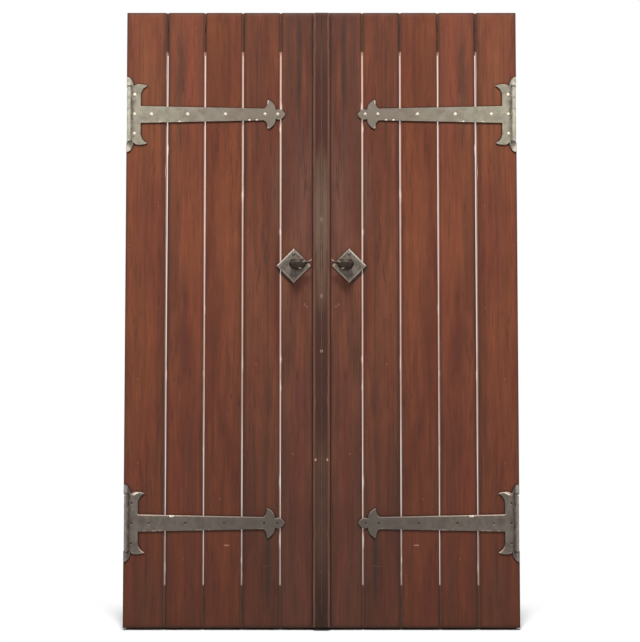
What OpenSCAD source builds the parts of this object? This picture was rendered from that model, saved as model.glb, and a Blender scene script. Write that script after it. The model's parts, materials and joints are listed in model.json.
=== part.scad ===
// Castle door: two boarded leaves on forged strap hinges, in a timber frame.
// Origin on the floor, under the meeting line, at half the depth of the frame.
// The outer face of the door looks along -Y, and both leaves open that way.
// Sub-parts are drawn for the right side, and the left side is their mirror image.

/* [Leaves] */
// Width of one leaf, from its outer edge to the meeting line
leaf_w = 670; // [640:1:720]
// Height of the boards
leaf_h = 2100; // [1950:1:2250]
// Gap between the floor and the boards
leaf_clear = 8; // [4:1:14]
// Gap between the two halves of the cover strip
meet_gap = 0.6; // [0.5:0.1:4]
// Room left at the meeting edges for the swing of the leaves
swing_clear = 0.8; // [0.5:0.1:3]

/* [Boards] */
// Thickness of the boards
board_t = 25; // [20:1:32]
// Open gap between two boards
board_gap = 4.6; // [4:0.2:8]
// Meeting line to the middle of the first gap
inner_board = 140; // [136:1:160]
// Outer edge to the middle of the last gap
outer_board = 140; // [134:1:150]
// Chamfer along the front edges of the boards
board_chamfer = 4; // [1:0.5:6]
// Arris along the outer edge of the leaf
outer_arris = 2; // [1:0.5:4]

/* [Leaf framing] */
// Thickness of the stiles and rails behind the boards
stile_t = 45; // [38:1:55]
// Width of the hinge stile
hinge_stile_w = 60; // [50:1:64]
// Width of the meeting stile, which carries the lock
meeting_stile_w = 122; // [118:1:126]
// Height of the top rail
top_rail_h = 70; // [60:1:90]
// Height of the bottom rail
bottom_rail_h = 107; // [90:1:130]
// Thickness of the rail tenons
tenon_t = 15; // [10:1:20]
// Shoulder above and below a rail tenon
tenon_shoulder = 12; // [8:1:16]
// Depth of the rail tenons in the meeting stile
tenon_blind = 70; // [50:1:90]
// Diameter of the pegs in the leaf framing
leaf_peg_d = 10; // [8:1:12]

/* [Door frame] */
// Width of a jamb, seen from the front
jamb_w = 60; // [56:1:66]
// Depth of the frame
frame_d = 90; // [84:1:110]
// Height of the head
head_h = 64; // [56:1:76]
// How far the frame stands above the leaves
head_rise = 6; // [2:1:12]
// Height of the sill
sill_h = 30; // [26:1:40]
// Gap between the closed boards and the front of the frame
stop_gap = 2; // [1:0.5:4]
// Gap around a hinge plate where it passes the edge of a leaf
side_gap = 2; // [1:0.5:4]
// Gap between the leaf framing and the door frame
frame_gap = 4; // [3:0.5:6]
// Thickness of the tenons of head and sill
frame_tenon_t = 30; // [24:1:36]
// Shoulder above and below the tenons of head and sill
frame_shoulder = 7; // [4:1:9]
// Diameter of the pegs in the door frame
frame_peg_d = 12; // [10:1:14]
// Diameter of the wall fixing holes through the jambs
anchor_d = 11; // [8:0.5:14]
// Height of the lower wall fixing holes
anchor_low = 600; // [580:1:700]
// Height of the upper wall fixing holes
anchor_high = 1500; // [1400:1:1550]
// Wall fixing holes behind the middle of the frame
anchor_y = 24; // [20:1:30]

/* [Cover strip] */
// Width of each half of the cover strip, from the meeting line
strip_w = 28.5; // [24:0.5:34]
// Thickness of the cover strip
strip_t = 16; // [10:1:24]
// Chamfer along the outer edge of the cover strip
strip_chamfer = 7; // [2:0.5:9]
// Arris along the meeting edge of the cover strip
strip_arris = 2; // [0.5:0.5:4]
// How far the cover strip stops short of the ends of the boards
strip_short = 4; // [0:1:10]

/* [Hinges] */
// Top of the leaf to the middle of the upper strap
hinge_drop = 355; // [300:1:420]
// Bottom of the leaf to the middle of the lower strap
hinge_rise = 351; // [300:1:420]
// Thickness of straps and hinge plates
hinge_t = 5; // [4:0.5:6]
// Edge of a leaf to the outer face of a hinge plate
plate_inset = 3; // [2:0.5:5]
// Diameter of the knuckles
knuckle_d = 17; // [15:0.5:19]
// Diameter of the hinge pins
pin_d = 8; // [6:0.5:9]
// Diameter of the heads of the hinge pins
pin_head_d = 12; // [10:0.5:13]
// Height of the heads of the hinge pins
pin_head_h = 3.2; // [2:0.2:4]
// Running clearance of the pins, measured on the radius
pin_fit = 0.08; // [0.03:0.01:0.1]
// Height of the whole barrel of five knuckles
barrel_h = 186; // [150:1:190]
// Length that the hinge plates run along the jamb
plate_reach = 44; // [36:1:56]
// Cut corners of the hinge plates
plate_corner = 13; // [6:1:16]
// Gap between moving and fixed knuckles
knuckle_gap = 0.5; // [0.4:0.1:1]
// Width of the T end of the strap
tee_w = 49; // [44:1:60]
// How far the T end rises over the barrel, up to the notch beside the middle lobe
tee_over = 3; // [3:1:17]
// How far the tip of the middle lobe rises over the notch
lobe_over = 34; // [26:1:44]
// Width of the middle lobe
lobe_w = 25; // [20:1:28]
// How far the curls reach past the T end
curl_out = 23; // [14:1:28]
// How far the curls rise over the notch
curl_rise = 8; // [4:1:14]
// How far below the notch a curl leaves the side of the T end
curl_drop = 29; // [16:1:36]
// Meeting line to the point of a strap
strap_stop = 124; // [110:1:128]
// Width of the strap beside the T end
strap_root_w = 57; // [50:1:64]
// Width of the strap before its tip
strap_end_w = 40; // [34:1:44]
// Length of the barbed tip
tip_len = 75; // [70:1:90]
// Width over the two barbs
barb_span = 98; // [80:1:120]
// Start of the tip to the points of the barbs
barb_in = 15; // [10:1:22]
// Width of the blunt points of the barbs
barb_tip = 4; // [2:0.5:8]
// Length of the drop at the end
drop_len = 33; // [28:1:40]
// Width of the neck behind the drop
neck_w = 27; // [20:1:30]
// Width of the drop
drop_w = 34; // [30:1:40]
// Studs in the T end, from the leaf's edge
tee_stud_u = 28; // [27.5:0.5:32]
// Upper and lower studs in the T end, from the level of the notch
tee_stud_drop = 28.5; // [21:0.5:36]
// First stud along the strap, from the leaf's edge
first_stud_u = 86.5; // [80:0.5:100]
// Middle of a board to the stud in it, towards the meeting line
stud_shift = 5.5; // [0:0.5:12]
// Start of the tip to its first stud
tip_stud_in = 5; // [2:0.5:10]
// Start of the tip to its last stud
tip_stud_out = 49; // [46:0.5:52]

/* [Studs, screws and pegs] */
// Diameter of a stud's shank
stud_d = 5; // [4:0.5:6]
// Diameter of a stud's head
stud_head_d = 13; // [10:0.5:16]
// Height of a stud's head
stud_head_h = 4.5; // [3:0.5:6]
// Diameter of the flat heads on the lower straps
nail_head_d = 8; // [6:0.5:10]
// Height of the flat heads on the lower straps
nail_head_h = 1.6; // [1:0.2:3]
// Depth of the studs in the boards
stud_depth = 18; // [12:1:19]
// Diameter of a screw's shank
screw_d = 5; // [4:0.5:6]
// Diameter of a screw's head
screw_head_d = 10; // [8:0.5:11]
// Height of a screw's countersunk head
screw_head_h = 3; // [2:0.5:3]
// Half the distance between the two screws in the end of a board
board_screw_half = 35; // [20:1:45]
// Meeting edge of the meeting stile to its screws
meeting_screw_in = 36; // [30:1:40]
// Depth of the screws in the wood behind what they hold
screw_depth = 18; // [12:1:19]
// Clearance of studs, screws and pegs, measured on the radius
fastener_fit = 0.1; // [0.05:0.05:0.2]

/* [Handles] */
// Meeting line to the axis of a handle
handle_x = 94.5; // [90:0.5:96]
// Leaf's bottom to the axis of a handle
handle_rise = 1224; // [1150:1:1300]
// Half diagonal of the handle plate
plate_r = 59; // [50:1:62]
// Thickness of the handle plate at its rim
plate_rim_t = 3; // [2:0.5:4]
// Height of the bevel on the handle plate
plate_bevel_h = 3; // [1:0.5:4]
// Width of the bevel on the handle plate
plate_bevel_w = 9; // [4:1:14]
// Axis of a handle to the studs of its plate
plate_stud_v = 42; // [34:1:46]
// Diameter of a handle's neck
neck_d = 22; // [18:0.5:24]
// Running clearance of the neck, measured on the radius
neck_fit = 0.08; // [0.03:0.01:0.1]
// Gap between the handle plate and the oval knob
knob_stand = 8; // [5:1:14]
// Length of the oval knob
knob_len = 58; // [50:1:64]
// Diameter of the oval knob
knob_d = 44; // [38:1:48]
// Middle of the knob from the axis, towards the meeting line
knob_in = 13; // [6:1:15]
// Middle of the knob above the axis
knob_up = 4; // [0:1:8]
// Point of the tail from the axis, towards the meeting line
tail_in = 61; // [56:1:66]
// Point of the tail above the axis
tail_up = 19; // [10:1:26]
// Diameter of the tail where it leaves the knob
tail_root_d = 14; // [10:0.5:18]
// Diameter of the tail at its point
tail_tip_d = 3.6; // [2:0.2:5]
// Side of the square spindle
spindle_w = 9; // [8:0.5:10]
// Depth of the spindle in a handle's neck
spindle_socket = 16; // [10:1:20]
// Room around the turning spindle, measured on the radius
spindle_room = 0.8; // [0.5:0.1:1.5]

/* [Locks] */
// Depth of the lock cases
case_d = 26; // [26:1:32]
// Wall of the lock cases
case_wall = 3; // [2:0.5:4]
// Half height of the lock cases
case_h = 52; // [50:1:60]
// Height of the fixing ears of a lock case
ear_h = 18; // [14:1:24]
// Half width of the left lock case
left_case_w = 31; // [29:1:31]
// Thickness of the crank discs
crank_t = 6; // [4:1:6]
// Diameter of the crank pins
crank_pin_d = 6; // [5:0.5:7]
// Radius of the crank pins that drive the rods
rod_crank_r = 14; // [13:0.5:15]
// Radius of the crank pin that drives the latch bolt
bolt_crank_r = 20; // [19:0.5:21]
// Play of a crank pin in its notch
crank_play = 0.9; // [0.8:0.1:1.2]
// Diameter of the rods
rod_d = 12; // [10:1:13]
// Middle of the rods and the bolt behind the stiles
rod_back = 14; // [14:0.5:15]
// Width of the rod ends inside the case
rod_end_w = 16; // [14:1:16]
// Thickness of the rod ends and of the bolt
bolt_t = 10; // [8:1:10]
// Height of the latch bolt
bolt_h = 26; // [24:1:28]
// Room between the turning spindle and the rod ends
rod_room = 0.65; // [0.5:0.05:0.8]
// Clearance of rods and bolt in their guides
slide_fit = 0.5; // [0.3:0.1:1]
// Clearance of rods and bolt in their keepers
keeper_fit = 1.5; // [1:0.1:2]
// Wall of the guides and of the bolt keeper
guide_wall = 5; // [4:0.5:7]
// Height of a rod guide
guide_h = 22; // [16:1:30]
// Axis of a handle to the nearer rod guides
guide_near = 300; // [200:1:400]
// Ends of the leaf framing to the farther rod guides
guide_far = 160; // [120:1:240]
// Length of the bolt keeper
keeper_len = 30; // [24:1:34]
// Depth of the rod's hole in the head
rod_hole = 26; // [24:1:32]
// Length of the rod keepers
strike_l = 60; // [50:1:80]
// Width of the rod keepers
strike_w = 28; // [24:1:32]
// Thickness of the rod keepers
strike_t = 3; // [2:0.5:4]

/* [Hidden] */
$fn = 48;

wood = "#74462f";
dark_wood = "#553c31";
frame_wood = "#5f3f2e";
iron = "#8f867a";
dark_iron = "#453e39";
steel = "#b5aea0";
overshoot = 1;
board_count = 5;
last_board = board_count - 1;
knuckle_count = 5;
curve_steps = 6;
profile_steps = 20;
stile_screw_count = 4;
peg_shares = [0.25, 0.75];
left = -1;
right = 1;

// Planes across the depth, from the frame's front outwards
frame_front = -frame_d / 2;
board_back = frame_front - stop_gap;
board_front = board_back - board_t;
stile_back = board_back + stile_t;
case_back = stile_back + case_d;
rod_y = stile_back + rod_back;

// Heights
leaf_bottom = leaf_clear;
leaf_top = leaf_clear + leaf_h;
frame_top = leaf_top + head_rise;
head_bottom = frame_top - head_h;
framing_top = head_bottom - frame_gap;
framing_bottom = sill_h + frame_gap;
hinge_top_z = leaf_top - hinge_drop;
hinge_bottom_z = leaf_bottom + hinge_rise;
handle_z = leaf_bottom + handle_rise;

// Places across the width
jamb_out = leaf_w - plate_inset - hinge_t;
notch_x = jamb_out - side_gap;
jamb_in = jamb_out - jamb_w;
hinge_stile_out = jamb_in - frame_gap;
hinge_stile_in = hinge_stile_out - hinge_stile_w;
axis_x = jamb_out + hinge_t - knuckle_d / 2;
axis_y = board_front - knuckle_d / 2 - knuckle_gap;

// A point this far behind the hinge axis swings this much past the meeting line
function swing(y) = norm([axis_x, y - axis_y]) - axis_x;
board_meet = meet_gap / 2 + swing_clear + swing(board_back);
stile_meet = meet_gap / 2 + swing_clear + swing(stile_back);
case_meet = meet_gap / 2 + swing_clear + swing(case_back);
meeting_stile_out = stile_meet + meeting_stile_w;

// Boards, counted from the meeting line
board_pitch = (leaf_w - inner_board - outer_board) / (board_count - 2);
function gap_x(i) = inner_board + i * board_pitch;
function board_x0(i) = i == 0 ? board_meet : gap_x(i - 1) + board_gap / 2;
function board_x1(i) = i == last_board ? leaf_w : gap_x(i) - board_gap / 2;
function board_mid(i) = (board_x0(i) + board_x1(i)) / 2;

// Strap outline, with u from the leaf's edge and v from the strap's middle
edge_u = side_gap;
tee_h = barrel_h / 2 + tee_over;
lobe_h = tee_h + lobe_over;
curl_root = tee_h - curl_drop;
tee_stud_v = tee_h - tee_stud_drop;
strap_len = leaf_w - strap_stop;
tip_u = strap_len - tip_len;
neck_u = strap_len - drop_len;
tee_studs = [for (v = [-tee_stud_v, 0, tee_stud_v]) [tee_stud_u, v]];
board_studs_u = [for (i = [last_board - 1:-1:2]) leaf_w - board_mid(i) + stud_shift];
strap_studs_u = concat([first_stud_u], board_studs_u, [tip_u + tip_stud_in, tip_u + tip_stud_out]);
strap_studs = concat(tee_studs, [for (u = strap_studs_u) [u, 0]]);
function bend(a, b, c) = [for (i = [0:curve_steps - 1]) let (t = i / curve_steps)
    (1 - t) * (1 - t) * a + 2 * t * (1 - t) * b + t * t * c];
function flipped(points) = [for (i = [len(points) - 1:-1:0]) [points[i][0], -points[i][1]]];
// Where the control points of its curves lie, as shares of the sizes beside them
lobe_side = 0.85;
lobe_crown = 0.98;
curl_start = 1.3;
curl_bow = 0.6;
curl_hook = 0.1;
curl_belly = 0.95;
curl_tip = 0.35;
barb_sweep = 0.85;
barb_lift = 0.55;
barb_back = 0.38;
drop_start = 0.1;
drop_widest = 0.45;
drop_end = 0.8;
drop_swell = 0.55;
drop_taper = 0.4;
curl_top = tee_h + curl_rise;
curl_u = tee_w + curl_out;
curl_v = tee_h + curl_rise * curl_tip;
barb_u = tip_u + barb_in;
drop_u = neck_u + drop_len * drop_widest;
lobe_edge = bend([edge_u, lobe_h], [lobe_w * lobe_side, lobe_h * lobe_crown], [lobe_w, tee_h]);
curl_edge = concat(
    bend([lobe_w, tee_h], [lobe_w * curl_start, tee_h + curl_rise * curl_start], [tee_w, curl_top]),
    bend([tee_w, curl_top], [tee_w + curl_out * curl_bow, curl_top], [curl_u, curl_v]),
    bend([curl_u, curl_v], [tee_w + curl_out * curl_hook, tee_h * curl_belly], [tee_w, curl_root]),
    [[tee_w, curl_root]]);
tip_edge = concat(
    bend([tip_u, strap_end_w / 2], [tip_u + barb_in * barb_sweep, strap_end_w * barb_lift],
        [barb_u, barb_span / 2]),
    [[barb_u, barb_span / 2]],
    bend([barb_u + barb_tip, barb_span / 2], [neck_u, barb_span * barb_back], [neck_u, neck_w / 2]),
    bend([neck_u, neck_w / 2], [neck_u + drop_len * drop_start, drop_w * drop_swell], [drop_u, drop_w / 2]),
    bend([drop_u, drop_w / 2], [neck_u + drop_len * drop_end, drop_w * drop_taper], [strap_len, 0]));
upper_edge = concat(lobe_edge, curl_edge, [[tee_w, strap_root_w / 2]], tip_edge);
strap_outline = concat(upper_edge, [[strap_len, 0]], flipped(upper_edge));

// Crank pins stand at 45 degrees at rest and turn through a quarter turn
rest_turn = 45;
rod_throw = 2 * rod_crank_r * sin(rest_turn);
bolt_throw = 2 * bolt_crank_r * sin(rest_turn);
rod_offset = rod_end_w / 2 + spindle_w / sqrt(2) + rod_room;
upper_rod_x = handle_x - rod_offset;
lower_rod_x = handle_x + rod_offset;
rod_notch = crank_pin_d + 2 * crank_play;
rod_end_h = rod_throw / 2 + rod_notch / 2 + 2 * guide_wall;
bolt_top = bolt_crank_r * cos(rest_turn) - crank_pin_d;
bolt_z = handle_z - bolt_top - bolt_h / 2;
bolt_rest_x = case_meet + slide_fit;
latch_case_out = meeting_stile_out - slide_fit;
bolt_tail_x = latch_case_out - case_wall - slide_fit;
guide_out = rod_back + rod_d / 2 + guide_wall;
upper_guides_z = [handle_z + guide_near, framing_top - guide_far];
lower_guides_z = [handle_z - guide_near, framing_bottom + guide_far];

// Wood screws in a leaf: each is [x, z], driven from the back of the framing
screw_rows_z = [framing_top - top_rail_h / 2, framing_bottom + bottom_rail_h / 2];
rail_screws = [for (i = [1:last_board - 1], dx = [-board_screw_half, board_screw_half], z = screw_rows_z)
    [board_mid(i) + dx, z]];
stile_screw_low = framing_bottom + bottom_rail_h * 2;
stile_screw_high = framing_top - top_rail_h * 2;
stile_screw_pitch = (stile_screw_high - stile_screw_low) / (stile_screw_count - 1);
stile_screw_z = [for (k = [0:stile_screw_count - 1]) stile_screw_low + k * stile_screw_pitch];
hinge_stile_screws = [for (z = stile_screw_z) [(hinge_stile_in + hinge_stile_out) / 2, z]];
meeting_stile_screws = [for (z = stile_screw_z) [stile_meet + meeting_screw_in, z]];
board_screws = concat(rail_screws, hinge_stile_screws, meeting_stile_screws);
latch_ear_x = [case_meet + 2 * screw_head_d, latch_case_out - 2 * screw_head_d];
rod_ear_x = [handle_x - left_case_w + screw_head_d, handle_x + left_case_w - screw_head_d];
ear_z = [handle_z - case_h - ear_h / 2, handle_z + case_h + ear_h / 2];
latch_ear_screws = [for (x = latch_ear_x, z = ear_z) [x, z]];
rod_ear_screws = [for (x = rod_ear_x, z = ear_z) [x, z]];

module side(s) {
    if (s == right) children();
    else mirror([1, 0, 0]) children();
}

// Moves to a point on the given plane, with +Z of the children looking out of the door's front
module front_at(x, y, z) {
    translate([x, y, z]) rotate([90, 0, 0]) children();
}

module box(x, y, z) {
    translate([x[0], y[0], z[0]]) cube([x[1] - x[0], y[1] - y[0], z[1] - z[0]]);
}

// Door frame

module tenon_pair(z0, z1, extra) {
    box([-jamb_out - extra, jamb_out + extra], [-frame_tenon_t / 2, frame_tenon_t / 2], [z0, z1]);
}

module head_tenons(extra = 0) {
    tenon_pair(head_bottom + frame_shoulder, frame_top - frame_shoulder, extra);
}

module sill_tenons(extra = 0) {
    tenon_pair(frame_shoulder, sill_h - frame_shoulder, extra);
}

module frame_pegs(fit = 0) {
    color(dark_wood)
    for (s = [left, right], z = [(head_bottom + frame_top) / 2, sill_h / 2])
        translate([s * (jamb_in + jamb_out) / 2, frame_front, z]) rotate([-90, 0, 0])
            cylinder(h = frame_d, d = frame_peg_d + 2 * fit);
}

module jamb() {
    color(frame_wood)
    difference() {
        box([jamb_in, jamb_out], [frame_front, -frame_front], [0, frame_top]);
        head_tenons(overshoot);
        sill_tenons(overshoot);
        frame_pegs(fastener_fit);
        for (z = [anchor_low, anchor_high])
            translate([jamb_in - overshoot, anchor_y, z]) rotate([0, 90, 0])
                cylinder(h = jamb_w + 2 * overshoot, d = anchor_d);
        plate_screws(fastener_fit);
    }
}

module head() {
    color(frame_wood)
    difference() {
        union() {
            box([-jamb_in, jamb_in], [frame_front, -frame_front], [head_bottom, frame_top]);
            head_tenons();
        }
        frame_pegs(fastener_fit);
        rod_space(upper_rod_x, [head_bottom - overshoot, head_bottom + rod_hole]);
        strike(upper_rod_x, head_bottom);
    }
}

module sill() {
    color(frame_wood)
    difference() {
        union() {
            box([-jamb_in, jamb_in], [frame_front, -frame_front], [0, sill_h]);
            sill_tenons();
        }
        frame_pegs(fastener_fit);
        rod_space(lower_rod_x, [-overshoot, sill_h + overshoot]);
        strike(lower_rod_x, sill_h - strike_t);
    }
}

// Square mortise that the end of a rod runs into
module rod_space(x, z) {
    w = rod_d / 2 + keeper_fit;
    box([-x - w, -x + w], [rod_y - w, rod_y + w], z);
}

// A flat plate let in flush around a rod's hole
module strike(x, z) {
    box([-x - strike_l / 2, -x + strike_l / 2], [rod_y - strike_w / 2, rod_y + strike_w / 2],
        [z, z + strike_t]);
}

module rod_keepers() {
    color(steel)
    difference() {
        union() {
            strike(upper_rod_x, head_bottom);
            strike(lower_rod_x, sill_h - strike_t);
        }
        for (x = [upper_rod_x, lower_rod_x]) rod_space(x, [-overshoot, frame_top]);
    }
}

// Hinges

knuckle_h = barrel_h / knuckle_count;

module barrel_cut(hz, i, reach) {
    top_extra = i == knuckle_count - 1 ? reach : 0;
    low_extra = i == 0 ? reach : 0;
    translate([axis_x, axis_y, hz - barrel_h / 2 + i * knuckle_h - low_extra])
        cylinder(h = knuckle_h + low_extra + top_extra, d = knuckle_d + 2 * knuckle_gap);
}

module knuckle(hz, i) {
    translate([axis_x, axis_y, hz - barrel_h / 2 + i * knuckle_h + knuckle_gap / 2])
        cylinder(h = knuckle_h - knuckle_gap, d = knuckle_d);
}

module pin_bore(hz) {
    translate([axis_x, axis_y, hz - lobe_h]) cylinder(h = 2 * lobe_h, d = pin_d + 2 * pin_fit);
}

// Screws through a hinge plate into the outer side of the jamb, two near its edge and two farther in
near_row = 0.35;
far_row = 0.7;
near_height = 0.38;
far_height = 0.13;
plate_screws_at = [for (s = [-1, 1], p = [[near_row, near_height], [far_row, far_height]])
    [plate_reach * p[0], s * barrel_h * p[1]]];

module plate_screws(fit = 0) {
    for (hz = [hinge_top_z, hinge_bottom_z], p = plate_screws_at)
        translate([jamb_out + hinge_t, frame_front + p[0], hz + p[1]]) rotate([0, -90, 0])
            screw(hinge_t + screw_depth, fit);
}

module hinge_plate_screws() {
    color(steel) {
        side(left) plate_screws();
        side(right) plate_screws();
    }
}

module hinge_plate(hz) {
    color(iron)
    difference() {
        union() {
            translate([jamb_out, 0, hz - barrel_h / 2]) rotate([90, 0, 90]) linear_extrude(hinge_t)
                polygon([[axis_y, 0], [frame_front + plate_reach - plate_corner, 0],
                    [frame_front + plate_reach, plate_corner],
                    [frame_front + plate_reach, barrel_h - plate_corner],
                    [frame_front + plate_reach - plate_corner, barrel_h], [axis_y, barrel_h]]);
            for (i = [0:2:knuckle_count - 1]) knuckle(hz, i);
        }
        for (i = [1:2:knuckle_count - 1]) barrel_cut(hz, i, 0);
        for (i = [0, knuckle_count - 1]) end_trim(hz, i);
        pin_bore(hz);
        plate_screws(fastener_fit);
    }
}

// Trims the plate flush with the end faces of the outer knuckles
module end_trim(hz, i) {
    z = i == 0 ? hz - barrel_h / 2 - overshoot : hz + barrel_h / 2 - knuckle_gap / 2;
    translate([axis_x, axis_y, z]) cylinder(h = overshoot + knuckle_gap / 2, d = knuckle_d + 2 * knuckle_gap);
}

module hinge_pin(hz) {
    translate([axis_x, axis_y, hz - barrel_h / 2]) cylinder(h = barrel_h, d = pin_d);
    for (end = [-1, 1])
        translate([axis_x, axis_y, hz + end * (barrel_h / 2 - knuckle_gap / 2)])
            rotate([end < 0 ? 180 : 0, 0, 0]) dome(pin_head_d, pin_head_h);
}

module hinge_pins() {
    color(dark_iron)
    for (s = [left, right], hz = [hinge_top_z, hinge_bottom_z]) side(s) hinge_pin(hz);
}

// Room in the edge of a leaf for a hinge plate
module plate_notch(hz) {
    half = barrel_h / 2 + side_gap;
    box([notch_x, leaf_w + overshoot], [board_front - hinge_t - overshoot, board_back + overshoot],
        [hz - half, hz + half]);
}

// Forged strap with its T end and moving knuckles
module strap(hz) {
    color(iron)
    difference() {
        union() {
            difference() {
                front_at(leaf_w, board_front, hz) linear_extrude(hinge_t)
                    polygon([for (p = strap_outline) [-p[0], p[1]]]);
                plate_notch(hz);
            }
            for (i = [1:2:knuckle_count - 1]) knuckle(hz, i);
        }
        for (i = [0:2:knuckle_count - 1]) barrel_cut(hz, i, pin_d);
        pin_bore(hz);
        strap_stud_shanks(hz, fastener_fit);
    }
}

// Studs, screws and pegs

// Round cap with a flat underside at z = 0
module dome(d, h) {
    r = (d * d / 4 + h * h) / (2 * h);
    intersection() {
        translate([0, 0, h - r]) sphere(r);
        translate([-d, -d, 0]) cube([2 * d, 2 * d, h + overshoot]);
    }
}

module stud_shank(x, z, over, fit) {
    translate([x, board_front - over, z]) rotate([-90, 0, 0])
        cylinder(h = over + stud_depth, d = stud_d + 2 * fit);
}

module strap_stud_shanks(hz, fit) {
    for (p = strap_studs)
        stud_shank(leaf_w - p[0], hz + p[1], hinge_t + overshoot, fit);
}

plate_t = plate_rim_t + plate_bevel_h;

module studs() {
    color(steel) {
        for (p = strap_studs) {
            front_at(leaf_w - p[0], board_front - hinge_t, hinge_top_z + p[1])
                dome(stud_head_d, stud_head_h);
            front_at(leaf_w - p[0], board_front - hinge_t, hinge_bottom_z + p[1])
                dome(nail_head_d, nail_head_h);
            for (hz = [hinge_top_z, hinge_bottom_z]) stud_shank(leaf_w - p[0], hz + p[1], hinge_t, 0);
        }
        for (v = [-plate_stud_v, plate_stud_v]) {
            front_at(handle_x, board_front - plate_t, handle_z + v) dome(stud_head_d, stud_head_h);
            stud_shank(handle_x, handle_z + v, plate_t, 0);
        }
    }
}

// Countersunk screw with its head at z = 0, reaching up
module screw(length, fit = 0) {
    cylinder(h = screw_head_h, d1 = screw_head_d + 2 * fit, d2 = screw_d + 2 * fit);
    cylinder(h = length, d = screw_d + 2 * fit);
}

module screws_at(places, y, length, fit = 0) {
    for (p = places) front_at(p[0], y, p[1]) screw(length, fit);
}

board_screw_len = stile_t + screw_depth;
ear_screw_len = case_wall + screw_depth;
ear_y = stile_back + case_wall;

module left_screws() {
    color(steel) {
        screws_at(board_screws, stile_back, board_screw_len);
        screws_at(rod_ear_screws, ear_y, ear_screw_len);
    }
}

module right_screws() {
    color(steel) {
        screws_at(board_screws, stile_back, board_screw_len);
        screws_at(latch_ear_screws, ear_y, ear_screw_len);
    }
}

top_tenon_z = [framing_top - top_rail_h + tenon_shoulder, framing_top - tenon_shoulder];
bottom_tenon_z = [framing_bottom + tenon_shoulder, framing_bottom + bottom_rail_h - tenon_shoulder];

module leaf_pegs(fit = 0) {
    color(dark_wood)
    for (x = [(hinge_stile_in + hinge_stile_out) / 2, meeting_stile_out - tenon_blind / 2],
            z = [top_tenon_z, bottom_tenon_z], share = peg_shares)
        front_at(x, stile_back, z[0] + share * (z[1] - z[0]))
            cylinder(h = stile_t, d = leaf_peg_d + 2 * fit);
}

// Leaves

module board(i) {
    x0 = board_x0(i);
    x1 = board_x1(i);
    c1 = i == last_board ? outer_arris : board_chamfer;
    inner_edge = i == 0 ? [[x0, board_front]]
        : [[x0 + board_chamfer, board_front], [x0, board_front + board_chamfer]];
    color(wood)
    difference() {
        translate([0, 0, leaf_bottom]) linear_extrude(leaf_h)
            polygon(concat([[x0, board_back], [x1, board_back], [x1, board_front + c1],
                [x1 - c1, board_front]], inner_edge));
        for (hz = [hinge_top_z, hinge_bottom_z], p = strap_studs)
            if (leaf_w - p[0] > x0 - stud_d && leaf_w - p[0] < x1 + stud_d)
                stud_shank(leaf_w - p[0], hz + p[1], overshoot, fastener_fit);
        screws_at([for (p = board_screws) if (p[0] > x0 && p[0] < x1) p], stile_back, board_screw_len,
            fastener_fit);
        if (i == last_board) for (hz = [hinge_top_z, hinge_bottom_z]) plate_notch(hz);
        if (i == 0) {
            spindle_bore();
            for (v = [-plate_stud_v, plate_stud_v])
                stud_shank(handle_x, handle_z + v, overshoot, fastener_fit);
        }
    }
}

module rail_tenons(z, extra = 0) {
    box([meeting_stile_out - tenon_blind, hinge_stile_out + extra],
        [board_back + (stile_t - tenon_t) / 2, board_back + (stile_t + tenon_t) / 2], z);
}

module rail(z, tenon_z) {
    color(wood)
    difference() {
        union() {
            box([meeting_stile_out, hinge_stile_in], [board_back, stile_back], z);
            rail_tenons(tenon_z);
        }
        leaf_pegs(fastener_fit);
        screws_at(rail_screws, stile_back, board_screw_len, fastener_fit);
    }
}

module top_rail() {
    rail([framing_top - top_rail_h, framing_top], top_tenon_z);
}

module bottom_rail() {
    rail([framing_bottom, framing_bottom + bottom_rail_h], bottom_tenon_z);
}

module stile(x, stile_screws) {
    color(wood)
    difference() {
        box(x, [board_back, stile_back], [framing_bottom, framing_top]);
        rail_tenons(top_tenon_z, overshoot);
        rail_tenons(bottom_tenon_z, overshoot);
        leaf_pegs(fastener_fit);
        screws_at(stile_screws, stile_back, board_screw_len, fastener_fit);
        children();
    }
}

module hinge_stile() {
    stile([hinge_stile_in, hinge_stile_out], hinge_stile_screws);
}

module meeting_stile(ear_screws) {
    stile([stile_meet, meeting_stile_out], meeting_stile_screws) {
        spindle_bore();
        screws_at(ear_screws, ear_y, ear_screw_len, fastener_fit);
    }
}

module spindle_bore() {
    front_at(handle_x, stile_back + overshoot, handle_z)
        cylinder(h = stile_t + board_t + 2 * overshoot, d = spindle_w * sqrt(2) + 2 * spindle_room);
}

module cover_strip() {
    x0 = meet_gap / 2;
    front = board_front - strip_t;
    color(dark_wood)
    translate([0, 0, leaf_bottom + strip_short]) linear_extrude(leaf_h - 2 * strip_short)
        polygon([[x0, board_front], [strip_w, board_front], [strip_w, front + strip_chamfer],
            [strip_w - strip_chamfer, front], [x0 + strip_arris, front], [x0, front + strip_arris]]);
}

// Handles

module handle_plate() {
    color(iron)
    difference() {
        front_at(handle_x, board_front, handle_z) {
            cylinder(h = plate_rim_t, r = plate_r, $fn = 4);
            translate([0, 0, plate_rim_t])
                cylinder(h = plate_bevel_h, r1 = plate_r, r2 = plate_r - plate_bevel_w, $fn = 4);
        }
        front_at(handle_x, board_front + overshoot, handle_z)
            cylinder(h = plate_t + 2 * overshoot, d = neck_d + 2 * neck_fit);
        for (v = [-plate_stud_v, plate_stud_v])
            stud_shank(handle_x, handle_z + v, plate_t + overshoot, fastener_fit);
    }
}

// Where the tail leaves the knob, and how high its bend lies, as shares
tail_root_in = 0.8;
tail_lift = 0.55;

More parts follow.
